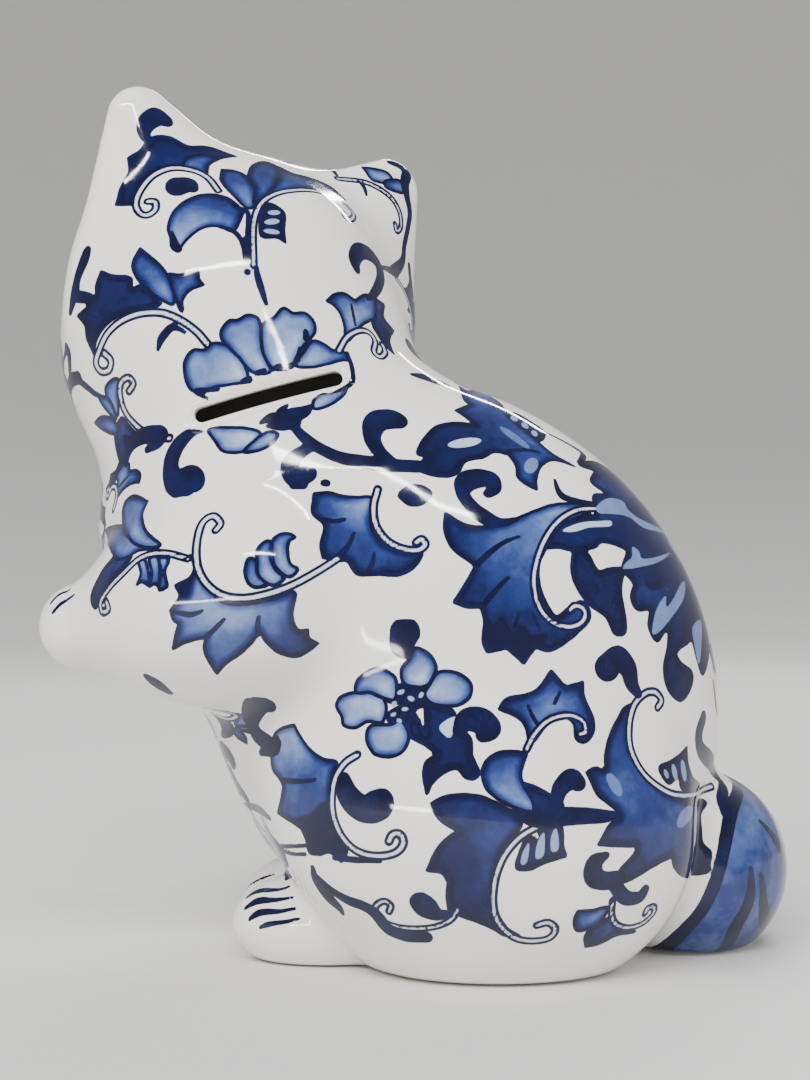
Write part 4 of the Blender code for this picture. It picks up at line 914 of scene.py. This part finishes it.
FACE_DRAWING = """
# eye
p .05 .3 | 6.5 1.5!, 9.5 -.3, 14.5 -1, 20 .6, 24.5 4.6!, 20.5 8.6, 14.8 9.8, 9.5 7.2
k | 6.2 1.4 .3, 9.2 7.2 .7, 14.8 9.9 .9, 20.5 8.8 .7, 24.8 4.4 .35, 27 5.4 .2
k | 14.6 8.4 .9, 14.8 4.4 2.1, 14.6 .6 .9
k | 9 12.5 .25, 14 14.6 .6, 20 13.4 .3
# ear lining
p .08 .4 | 23 33, 29 31.5, 34.5 36, 37.8 47!, 31 44.5, 25.5 38.5
k | 26.5 36 .3, 30.5 38 .5, 35 43.5 .25
k | 25 34.5 .25, 29 34.5 .5, 33.8 39 .25
# cheek
k | 8 -15.2 .45
k | 10.4 -13.6 .4
k | 10.6 -17 .4
k | 13.5 -13.5 .28, 22 -11.5 .3, 32 -7.5 .14
k | 14 -16 .28, 23 -16 .3, 33 -14.5 .14
k | 13 -18.6 .28, 21 -20.5 .3, 30 -21.5 .14
k | 0 -15.2 .35, .6 -18.4 .4, 3.2 -20.6 .42, 6.6 -20.2 .3, 8.4 -18.6 .18
# nose
d .8 1 | 0 -10.2, 3.4 -10.6, 3 -12.6, .9 -15, -.9 -15, -3 -12.6, -3.4 -10.6
# brow
k | 0 11.5 .3, 0 14 .8, 0 17.5 .3
k | 4.6 12.5 .25, 5.4 15 .7, 6.6 18 .25
k | -4.6 12.5 .25, -5.4 15 .7, -6.6 18 .25
"""
HEAD_MOTIFS = (
    "ear comma", "ear leaf", "trumpet left", "trumpet right", "right ear", "nape comma and bell",
    "cheek comma", "leaf b", "peony left", "peony right", "peony lower",
)
# every other motif is painted again, mirrored, on the right side
LEFT_ONLY = HEAD_MOTIFS + (
    "acanthus k", "lily", "leaf m", "leaf n", "tail strokes", "lower edge leaf", "paw claws",
    "leaf c", "big comma", "chest edge", "belly dot",
)
FLOWER = ("flower left", "flower right", "flower leaf")
PEONY = ("peony left", "peony right", "peony lower")
# motif names, view, centre on that drawing, turn in degrees, size, mirrored or not
STAMPS = (
    (PEONY, "face", (0.0, 29.5), 0.0, 0.62, False),
    (("leaf f",), "face", (29.0, -6.0), 80.0, 0.62, False),
    (("leaf f",), "face", (-29.0, -6.0), -80.0, 0.62, True),
    (("big comma",), "face", (-17.0, -29.0), 30.0, 0.8, False),
    (("big comma",), "face", (17.0, -29.0), -30.0, 0.8, True),
    (("ear leaf",), "temple", (-4.0, 17.0), 20.0, 0.8, True),
    (("leaf b",), "temple", (-5.0, -14.0), 0.0, 0.85, False),
    (("big comma",), "temple", (-18.0, 6.0), 20.0, 0.9, False),
    (("leaf tulip",), "temple", (15.0, 12.0), -20.0, 0.9, True),
    (("leaf c",), "temple", (13.0, -15.0), 20.0, 0.8, False),
    (("leaf tulip",), "cheek", (-12.0, 14.0), 20.0, 0.95, False),
    (("leaf c",), "cheek", (-10.0, -14.0), -20.0, 0.85, True),
    (FLOWER, "front", (0.0, 46.0), 10.0, 0.9, False),
    (("leaf c",), "front", (28.0, 54.0), -60.0, 0.75, True),
    (("leaf c",), "front", (-28.0, 55.0), 60.0, 0.75, False),
    (("leaf d",), "front", (-20.0, 24.0), 30.0, 0.8, False),
    (("leaf d",), "front", (21.0, 23.0), -30.0, 0.8, True),
    (PEONY, "front", (2.0, 108.0), 0.0, 0.8, False),
    (("nape comma and bell",), "front", (-22.0, 104.0), 60.0, 0.8, False),
    (("nape comma and bell",), "front", (24.0, 121.0), -40.0, 0.8, True),
    (("nape comma and bell",), "back", (0.0, 131.0), 0.0, 0.85, False),
    (FLOWER, "back", (0.0, 58.0), -10.0, 0.9, False),
    (("leaf tulip",), "back", (1.0, 82.0), 180.0, 0.8, False),
    (("flower left", "flower right"), "back", (0.0, 92.0), 0.0, 0.9, False),
    (("leaf c",), "back", (20.0, 152.0), 160.0, 0.9, False),
    (("paw claws",), "right", (-86.0, 82.0), 0.0, 1.0, False),
)
STEM_SCALE = 0.9
FACE_PAIRS = ("eye", "ear lining", "cheek")
# paint distances are kept up to this far from a shape, in millimetres
REACH = 2.0
WASHES = "dpqr"
LAYERS = "dpqrswkg"
OVAL_POINTS = 14
UP = np.array([0.0, 0.0, 1.0])
# each flat drawing's eye, its x and z directions, and its origin
VIEWS = {
    "left": ((-0.003, -0.400, 0.092), (1.0, 0.0, 0.0), UP, (0.0, 0.0, 0.0)),
    "right": ((-0.003, 0.400, 0.092), (1.0, 0.0, 0.0), UP, (0.0, 0.0, 0.0)),
    "back": ((0.450, 0.0, 0.120), (0.0, 1.0, 0.0), UP, (0.0, 0.0, 0.0)),
    "front": ((-0.450, 0.0, 0.060), (0.0, -1.0, 0.0), UP, (0.0, 0.0, 0.0)),
    "face": (head_point(0.0, 0.400, 0.0), -HEAD_AXES[:, 0], HEAD_AXES[:, 2], HEAD_CENTRE),
    "temple": (head_point(0.400, 0.0, 0.0), HEAD_AXES[:, 1], HEAD_AXES[:, 2], HEAD_CENTRE),
    "cheek": (head_point(-0.400, 0.0, 0.0), -HEAD_AXES[:, 1], HEAD_AXES[:, 2], HEAD_CENTRE),
}


def read_drawing(text):
    """Each motif's name and its shapes, as (kind, tones, rows, corners)."""
    motifs = {}
    for line in text.strip().splitlines():
        if line.startswith("# "):
            rows = motifs.setdefault(line[2:], [])
        elif line.startswith(" "):
            rows[-1] += line
        else:
            rows.append(line)
    return {name: [read_shape(row) for row in rows] for name, rows in motifs.items()}


def read_shape(row):
    head, body = row.split("|")
    words = head.split()
    tones = [float(word) for word in words[1:] if word != "o"]
    if "o" in words:
        rows, corners = oval([float(v) for v in body.split()])
    else:
        rows, corners = read_points(body)
    return words[0], tones, rows, corners


def oval(values):
    x, z, long, short, turn = values
    c, s = math.cos(math.radians(turn)), math.sin(math.radians(turn))
    rows = []
    for k in range(OVAL_POINTS):
        angle = 2.0 * math.pi * k / OVAL_POINTS
        u, v = long * math.cos(angle), short * math.sin(angle)
        rows.append([x + u * c - v * s, z + u * s + v * c])
    return np.array(rows), [False] * OVAL_POINTS


def moved(shapes, centre, turn, size, flip):
    """The same shapes turned, scaled and carried to a new centre of the drawing."""
    middle = np.concatenate([rows[:, :2] for _, _, rows, _ in shapes]).mean(axis=0)
    c, s = math.cos(math.radians(turn)), math.sin(math.radians(turn))
    result = []
    for kind, tones, rows, corners in shapes:
        q = (rows[:, :2] - middle) * size
        if flip:
            q = q * np.array([-1.0, 1.0])
        q = q @ np.array([[c, s], [-s, c]]) + np.array(centre)
        extra = rows[:, 2:] * size
        result.append((kind, tones, np.hstack([q, extra]), corners))
    return result


def other_side(shapes):
    """The same shapes mirrored across the drawing's middle line."""
    flip = np.array([-1.0, 1.0, 1.0])
    return [(kind, tones, rows * flip[:rows.shape[1]], corners) for kind, tones, rows, corners in shapes]


def laid_down(view, flat):
    """Flat drawing points carried onto the surface along lines from the view's eye, and each one's miss."""
    eye, across, up, origin = [np.array(v, float) for v in VIEWS[view]]
    flat = flat / 1000.0
    target = origin + flat[:, :1] * across + flat[:, 1:2] * up
    line = target - eye
    far = np.linalg.norm(line, axis=1)
    line = line / far[:, None]
    run_up = 0.120
    along = far - run_up
    nearest = np.full(len(flat), 1e9)
    found = target.copy()
    for _ in range(70):
        p = eye + along[:, None] * line
        gap = whole_field(p)
        better = np.abs(gap) < nearest
        nearest[better] = np.abs(gap)[better]
        found[better] = p[better]
        along = along + np.clip(gap * 0.85, -0.004, 0.030)
    for _ in range(3):
        slope = slope_of(whole_field, found)
        size = np.maximum((slope * slope).sum(axis=1), LEAST_SLOPE)
        found = found - whole_field(found)[:, None] * slope / size[:, None]
    touching = 0.0002
    return found, np.where(nearest > touching, nearest, 0.0)


def surface_chart(view, laid, hit):
    """A motif's middle on the surface, the normal there, and its flat coordinates in millimetres."""
    anchor = laid[hit].mean(axis=0) if hit.any() else laid.mean(axis=0)
    slope = slope_of(whole_field, anchor[None])
    anchor = anchor - whole_field(anchor[None])[0] * slope[0] / (slope[0] @ slope[0])
    normal = unit(slope_of(whole_field, anchor[None])[0])
    across = np.array(VIEWS[view][1], float)
    across = unit(across - normal * (across @ normal))
    upward = np.cross(normal, across)
    upward = upward * math.copysign(1.0, upward @ np.array(VIEWS[view][2], float))
    most_stretch = 1.9

    def chart(p):
        w = p - anchor
        q = np.stack([w @ across, w @ upward], axis=1)
        flat_length = np.maximum(np.linalg.norm(q, axis=1), 1e-9)
        true_length = np.linalg.norm(w, axis=1)
        return q * (1000.0 * np.clip(true_length / flat_length, 1.0, most_stretch))[:, None]

    return anchor, normal, chart


def shape_distance(q, shape, controls):
    kind, tones, rows, corners = shape
    if kind == "k":
        return stroke_distance(q, smooth_run(np.hstack([controls, rows[:, 2:]]), False))
    if kind == "s":
        width = np.full((len(controls), 1), tones[0] * STEM_SCALE)
        return stroke_distance(q, smooth_run(np.hstack([controls, width]), False))
    return inside_distance(q, outline(controls, corners))


def paint_motif(skin_data, view, shapes):
    """Lays one motif on the skin and keeps, layer by layer, how far each vertex is from it."""
    points, normals, free, depth, tone = skin_data
    flat = np.concatenate([rows[:, :2] for _, _, rows, _ in shapes])
    laid, miss = laid_down(view, flat)
    anchor, normal, chart = surface_chart(view, laid, miss == 0.0)
    # points whose line missed the cat are pushed out past its edge
    controls = chart(laid)
    reach = np.linalg.norm(controls, axis=1)
    controls = controls * (1.0 + 1500.0 * miss / np.maximum(reach, 4.0))[:, None]
    patch_margin = 0.003
    least_facing = 0.12
    radius = np.linalg.norm(laid - anchor, axis=1).max() + patch_margin
    near = np.linalg.norm(points - anchor, axis=1) < radius
    near &= (normals @ normal > least_facing) & free
    near = np.nonzero(near)[0]
    if len(near) == 0:
        return
    q = chart(points[near])
    box_margin = REACH + 3.0
    start = 0
    for shape in shapes:
        kind, tones, rows, _ = shape
        c = controls[start:start + len(rows)]
        start += len(rows)
        low = c.min(axis=0) - box_margin
        high = c.max(axis=0) + box_margin
        chosen = np.nonzero(((q > low) & (q < high)).all(axis=1))[0]
        if len(chosen) == 0:
            continue
        distance = shape_distance(q[chosen], shape, c)
        target = near[chosen]
        closer = distance < depth[kind][target]
        target = target[closer]
        depth[kind][target] = distance[closer]
        if kind in tone:
            away = np.linalg.norm(q[chosen][closer] - c[0], axis=1)
            span = np.linalg.norm(c - c[0], axis=1).max()
            share = np.clip(away / span, 0.0, 1.0)
            tone[kind][target] = tones[0] + (tones[-1] - tones[0]) * share


def tail_course(p):
    """How far along the tail each point lies, in metres from the root."""
    best = np.full(len(p), 1e9)
    course = np.zeros(len(p))
    done = 0.0
    for (a, _), (b, _) in zip(TAIL_PATH[:-1], TAIL_PATH[1:]):
        a = np.array(a)
        line = np.array(b) - a
        length = np.linalg.norm(line)
        t = np.clip((p - a) @ line / length ** 2, 0.0, 1.0)
        gap = np.linalg.norm(p - a - t[:, None] * line, axis=1)
        closer = gap < best
        best[closer] = gap[closer]
        course[closer] = done + t[closer] * length
        done += length
    return course


# the tail's root stays white up to this far from the body
TAIL_START = 0.0055
RINGS_START = 0.040
RING_PITCH = 0.0115
RING_HALF = 1.7
BORDER_MIDDLE = 1.2
BORDER_HALF = 1.3


def paint_tail(points, depth, tone):
    """A blue wash over the tail with a dark border, and dark rings along its hidden stretch."""
    edge = 1000.0 * (tail_field(points) - core_field(points) + TAIL_START)
    closer = edge < depth["d"]
    depth["d"][closer] = edge[closer]
    course = tail_course(points)
    tone["d"][closer] = 0.60 + 0.10 * np.sin(course[closer] * 260.0)
    wander = 0.0016 * np.sin(points[:, 2] * 300.0 + points[:, 0] * 140.0)
    phase = (course + wander) / RING_PITCH
    ring = np.abs(phase - np.round(phase)) * (1000.0 * RING_PITCH) - RING_HALF
    ring = np.maximum(ring, edge + 0.5)
    ring = np.where(course > RINGS_START, ring, REACH)
    border = np.abs(edge + BORDER_MIDDLE) - BORDER_HALF
    depth["k"] = np.minimum(depth["k"], np.minimum(ring, border))


def paint(obj):
    """Keeps every layer's distance, in millimetres, and tone on the cat's vertices."""
    mesh = obj.data
    points = points_of(mesh)
    normals = slope_of(skin_field, points)
    normals = normals / np.maximum(np.linalg.norm(normals, axis=1), 1e-9)[:, None]
    outer = np.abs(skin_field(points)) < SKIN_TOLERANCE
    on_tail = tail_field(points) < core_field(points) - TAIL_START
    depth = {kind: np.full(len(points), REACH) for kind in LAYERS}
    tone = {kind: np.full(len(points), 0.5) for kind in WASHES + "w"}
    body = (points, normals, outer & ~on_tail, depth, tone)
    tail = (points, normals, outer & on_tail, depth, tone)
    drawing = read_drawing(DRAWING)
    for name, shapes in drawing.items():
        paint_motif(tail if name == "tail strokes" else body, "left", shapes)
        if name not in LEFT_ONLY:
            paint_motif(body, "right", shapes)
    for names, view, centre, turn, size, flip in STAMPS:
        shapes = [shape for name in names for shape in drawing[name]]
        paint_motif(body, view, moved(shapes, centre, turn, size, flip))
    for name, shapes in read_drawing(FACE_DRAWING).items():
        paint_motif(body, "face", shapes)
        if name in FACE_PAIRS:
            paint_motif(body, "face", other_side(shapes))
    paint_tail(points, depth, tone)
    # the inside and the flat underside are not glazed
    bare = (~outer) | (points[:, 2] < UNDERSIDE)
    for kind in LAYERS:
        values = np.clip(depth[kind], -REACH, REACH)
        add_values(mesh, "depth_" + kind, np.where(bare, REACH, values))
    for kind, values in tone.items():
        add_values(mesh, "tone_" + kind, values)
    add_values(mesh, "bare", bare.astype(float))


def add_values(mesh, name, values):
    attribute = mesh.attributes.new(name, "FLOAT", "POINT")
    attribute.data.foreach_set("value", values.astype(np.float32))


# ------------------------------------------------------------------- materials
class Nodes:
    """Short ways to add and join shader nodes."""

    def __init__(self, name):
        self.material = bpy.data.materials.new(name)
        self.material.use_nodes = True
        self.tree = self.material.node_tree
        self.shader = self.tree.nodes["Principled BSDF"]

    def put(self, socket, value):
        if isinstance(value, bpy.types.NodeSocket):
            self.tree.links.new(value, socket)
        elif socket.type == "RGBA" and len(value) == 3:
            socket.default_value = (*value, 1.0)
        else:
            socket.default_value = value

    def attribute(self, name):
        node = self.tree.nodes.new("ShaderNodeAttribute")
        node.attribute_name = name
        return node.outputs["Fac"]

    def noise(self, scale, detail=2.0, roughness=0.5):
        coordinates = self.tree.nodes.new("ShaderNodeTexCoord")
        node = self.tree.nodes.new("ShaderNodeTexNoise")
        node.inputs["Scale"].default_value = scale
        node.inputs["Detail"].default_value = detail
        node.inputs["Roughness"].default_value = roughness
        self.put(node.inputs["Vector"], coordinates.outputs["Object"])
        return node.outputs["Fac"]

    def math(self, operation, a, b=0.0):
        node = self.tree.nodes.new("ShaderNodeMath")
        node.operation = operation
        self.put(node.inputs[0], a)
        self.put(node.inputs[1], b)
        return node.outputs[0]

    def spread(self, amount, scale, detail=2.0, roughness=0.5):
        """Noise about zero."""
        return self.math("MULTIPLY", self.math("SUBTRACT", self.noise(scale, detail, roughness), 0.5), amount)

    def plus(self, a, b, share=1.0):
        return self.math("ADD", a, b if share == 1.0 else self.math("MULTIPLY", b, share))

    def step(self, value, low, high, start=0.0, end=1.0):
        node = self.tree.nodes.new("ShaderNodeMapRange")
        node.interpolation_type = "SMOOTHSTEP"
        self.put(node.inputs["Value"], value)
        limits = (("From Min", low), ("From Max", high), ("To Min", start), ("To Max", end))
        for name, number in limits:
            node.inputs[name].default_value = number
        return node.outputs["Result"]

    def inside(self, distance, low, high):
        """One where the distance is under low, falling to nothing at high."""
        return self.step(distance, low, high, 1.0, 0.0)

    def mix(self, share, a, b):
        node = self.tree.nodes.new("ShaderNodeMix")
        node.data_type = "RGBA"
        self.put(node.inputs["Factor"], share)
        self.put(node.inputs[6], a)
        self.put(node.inputs[7], b)
        return node.outputs[2]

    def ramp(self, value, stops):
        node = self.tree.nodes.new("ShaderNodeValToRGB")
        elements = node.color_ramp.elements
        while len(elements) < len(stops):
            elements.new(0.5)
        for element, (place, colour) in zip(elements, stops):
            element.position = place
            element.color = (*colour, 1.0)
        self.put(node.inputs["Fac"], value)
        return node.outputs["Color"]

    def bump(self, height, strength, distance):
        node = self.tree.nodes.new("ShaderNodeBump")
        node.inputs["Strength"].default_value = strength
        node.inputs["Distance"].default_value = distance
        self.put(node.inputs["Height"], height)
        self.put(self.shader.inputs["Normal"], node.outputs["Normal"])


BLUES = (
    (0.00, (0.43, 0.50, 0.66)),
    (0.20, (0.200, 0.268, 0.455)),
    (0.42, (0.064, 0.106, 0.285)),
    (0.60, (0.0155, 0.032, 0.150)),
    (0.80, (0.0040, 0.0080, 0.060)),
    (1.00, (0.0015, 0.0025, 0.026)),
)
WHITES = ((0.3, (0.79, 0.768, 0.725)), (0.7, (0.82, 0.803, 0.765)))
INK_DARK = (0.0012, 0.0018, 0.020)
INK_LIGHT = (0.0026, 0.0052, 0.046)
STEM_COLOUR = (0.56, 0.59, 0.66)
STEM_LINE = 0.22
BARE_COLOUR = (0.70, 0.67, 0.61)
RUBBERS = ((0.3, (0.62, 0.61, 0.57)), (0.7, (0.70, 0.69, 0.65)))


def painted_glaze():
    """White glaze under outlined blue washes, pale stems, overlays and brush strokes, in that order."""
    n = Nodes("painted_glaze")
    tremble = n.spread(0.30, 420.0)
    wash = n.plus(n.spread(0.55, 95.0, 4.0, 0.6), n.spread(0.22, 300.0, 3.0, 0.6))
    shade = n.step(n.attribute("depth_g"), -1.2, 1.0, 0.5, 0.0)
    ink = n.mix(n.step(n.noise(160.0, 3.0), 0.35, 0.70), INK_DARK, INK_LIGHT)
    colour = n.ramp(n.noise(30.0), WHITES)
    for kind in WASHES:
        depth = n.plus(n.attribute("depth_" + kind), tremble)
        pool = n.step(depth, -1.9, -0.1, -0.04, 0.24)
        tone = n.plus(n.plus(n.plus(n.attribute("tone_" + kind), wash), pool), shade)
        colour = n.mix(n.inside(depth, -0.07, 0.07), colour, n.ramp(tone, BLUES))
        colour = n.mix(n.inside(n.math("ABSOLUTE", depth), 0.34, 0.50), colour, ink)
    stem = n.plus(n.attribute("depth_s"), tremble, 0.4)
    stem_line = n.math("ABSOLUTE", n.math("SUBTRACT", stem, STEM_LINE))
    colour = n.mix(n.inside(stem, -0.05, 0.05), colour, STEM_COLOUR)
    colour = n.mix(n.inside(stem_line, 0.26, 0.42), colour, ink)
    overlay = n.plus(n.attribute("depth_w"), tremble, 0.5)
    overlay_tone = n.plus(n.attribute("tone_w"), wash, 0.4)
    colour = n.mix(n.inside(overlay, -0.15, 0.10), colour, n.ramp(overlay_tone, BLUES))
    stroke = n.plus(n.attribute("depth_k"), tremble)
    colour = n.mix(n.inside(stroke, 0.06, 0.24), colour, ink)
    bare = n.attribute("bare")
    n.put(n.shader.inputs["Base Color"], n.mix(bare, colour, BARE_COLOUR))
    gloss = n.step(n.noise(260.0, 3.0), 0.3, 0.8, 0.05, 0.10)
    n.put(n.shader.inputs["Roughness"], n.plus(gloss, bare, 0.5))
    n.shader.inputs["IOR"].default_value = 1.52
    n.bump(n.noise(55.0), 0.18, 0.0006)
    return n.material


def soft_rubber():
    n = Nodes("stopper_rubber")
    n.put(n.shader.inputs["Base Color"], n.ramp(n.noise(70.0, 3.0), RUBBERS))
    n.put(n.shader.inputs["Roughness"], n.step(n.noise(900.0), 0.3, 0.7, 0.45, 0.60))
    n.bump(n.noise(1400.0), 0.25, 0.0002)
    return n.material


def pale_ground():
    """A matt floor that is clear from below, so that the base can be looked at."""
    n = Nodes("studio_ground")
    n.shader.inputs["Base Color"].default_value = (0.72, 0.71, 0.69, 1.0)
    n.shader.inputs["Roughness"].default_value = 0.85
    clear = n.tree.nodes.new("ShaderNodeBsdfTransparent")
    face = n.tree.nodes.new("ShaderNodeNewGeometry")
    either = n.tree.nodes.new("ShaderNodeMixShader")
    n.put(either.inputs[0], face.outputs["Backfacing"])
    n.put(either.inputs[1], n.shader.outputs[0])
    n.put(either.inputs[2], clear.outputs[0])
    n.put(n.tree.nodes["Material Output"].inputs["Surface"], either.outputs[0])
    return n.material


# ------------------------------------------------------------------ the pieces
def make_cat():
    cat = skin("cat_glaze", core_balls() + limb_balls(), skin_field, CAT_VOXEL)
    cut(cat, skin("cavity", shrunken(core_balls(), WALL), cavity_field, CAVITY_VOXEL))
    below, above = -0.010, 0.020
    bore = (
        (0.0, below),
        (RECESS_RADIUS + RECESS_FLARE, below),
        (RECESS_RADIUS + RECESS_FLARE, 0.0),
        (RECESS_RADIUS, RECESS_DEPTH),
        (HOLE_RADIUS, RECESS_DEPTH),
        (HOLE_RADIUS, above),
        (0.0, above),
    )
    cut(cat, lathe("base_bore", bore, HOLE_CENTRE, 128))
    cut(cat, slot_prism("coin_slot_cutter"))
    paint(cat)
    cat.data.transform(Matrix.Translation(Vector(SHIFT)))
    cat.data.shade_smooth()
    cat.data.set_sharp_from_angle(angle=math.radians(40.0))
    cat.data.materials.clear()
    cat.data.materials.append(painted_glaze())
    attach(cat, "cat")
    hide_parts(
        "body_shell", "head_shell", "left_foreleg", "right_foreleg",
        "left_hind_paw", "right_hind_paw", "tail",
    )


def make_stopper():
    """A rubber cup: a flange with a shallow dimple, a neck, a barb that grips, and a hollow top."""
    low, high = stopper_low, stopper_high
    base, top = low[2], high[2]
    flange = 0.5 * (high[0] - low[0])
    neck, barb, hollow = 0.0150, 0.0156, 0.0112
    dimple = base + 0.0010
    floor = base + 0.0030
    profile = (
        (0.0, dimple),
        (0.0060, dimple),
        (0.0068, base + 0.0003),
        (0.0080, base),
        (flange - 0.0006, base),
        (flange - 0.0002, base + 0.0002),
        (flange, base + 0.0006),
        (flange, base + 0.0011),
        (flange - 0.0002, base + 0.0015),
        (flange - 0.0006, base + 0.0017),
        (neck + 0.0001, base + 0.0017),
        (neck, base + 0.0020),
        (neck, base + 0.0052),
        (barb, base + 0.0062),
        (barb, base + 0.0072),
        (barb - 0.0008, base + 0.0086),
        (0.0138, top - 0.0006),
        (0.0132, top),
        (hollow + 0.0006, top),
        (hollow + 0.0002, top - 0.0006),
        (hollow, floor),
        (0.0, floor),
    )
    centre = (0.5 * (low[0] + high[0]), 0.5 * (low[1] + high[1]))
    stopper = lathe("stopper_rubber_plug", profile, centre, 96)
    stopper.data.shade_smooth()
    stopper.data.set_sharp_from_angle(angle=math.radians(50.0))
    stopper.data.materials.append(soft_rubber())
    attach(stopper, "stopper")
    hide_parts("stopper")


# ---------------------------------------------------------- the studio round it
def make_ground():
    """A pale round floor that curves up all round into a backdrop."""
    drop = -0.0003
    flat, sweep, rise, count = 1.3, 1.5, 1.9, 16
    profile = [(0.0, drop), (0.5, drop), (flat, drop)]
    for k in range(1, count + 1):
        angle = math.radians(90.0 * k / count)
        profile.append((flat + sweep * math.sin(angle), drop + rise - rise * math.cos(angle)))
    ground = lathe("studio_ground", profile, (0.0, 0.0), 96)
    if ground.data.polygons[0].normal.z < 0.0:
        ground.data.flip_normals()
    ground.data.shade_smooth()
    ground.data.materials.append(pale_ground())


def aim(obj, place, target):
    obj.location = Vector(place)
    obj.rotation_euler = (Vector(target) - Vector(place)).to_track_quat("-Z", "Y").to_euler()


# name, place, size, power, and whether the glaze mirrors it
LAMPS = (
    ("key", (-0.75, -0.95, 1.15), (0.9, 0.9), 25.0, False),
    ("fill", (1.2, -0.6, 0.7), (1.0, 1.0), 9.0, False),
    ("low_fill", (-0.2, -1.4, 0.25), (1.0, 0.5), 5.0, False),
    ("rim", (0.3, 1.1, 1.2), (1.2, 0.6), 12.0, False),
    ("strip", (0.04, -0.74, 0.83), (0.54, 0.035), 5.0, True),
    ("window", (-0.42, -0.97, 0.06), (0.30, 0.035), 1.2, True),
    ("back_strip", (0.25, 0.95, 0.90), (0.60, 0.04), 4.0, True),
)


def make_light(name, place, size, power, mirrored_in_glaze):
    lamp = bpy.data.lights.new(name, "AREA")
    lamp.shape = "RECTANGLE"
    lamp.size, lamp.size_y = size
    lamp.energy = power
    obj = link(lamp, name)
    obj.visible_glossy = mirrored_in_glaze
    aim(obj, place, (0.0, 0.0, 0.10))


def make_studio():
    make_ground()
    world = bpy.data.worlds.new("studio")
    world.use_nodes = True
    background = world.node_tree.nodes["Background"]
    background.inputs["Color"].default_value = (0.93, 0.94, 1.0, 1.0)
    background.inputs["Strength"].default_value = 0.34
    bpy.context.scene.world = world
    for lamp in LAMPS:
        make_light(*lamp)


def make_camera():
    """The photo's eye: nearly level, 0.4 m from the cat's left side."""
    camera = bpy.data.cameras.new("camera")
    camera.lens = 55.2
    camera.sensor_width = 36.0
    camera.clip_start = 0.02
    obj = link(camera, "camera")
    place = Vector(SHIFT) + Vector((-0.003, -0.400, 0.092))
    target = Vector(SHIFT) + Vector((-0.003, 0.0, 0.097))
    aim(obj, place, target)
    bpy.context.scene.camera = obj


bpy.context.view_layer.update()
make_camera()
make_cat()
make_stopper()
make_studio()
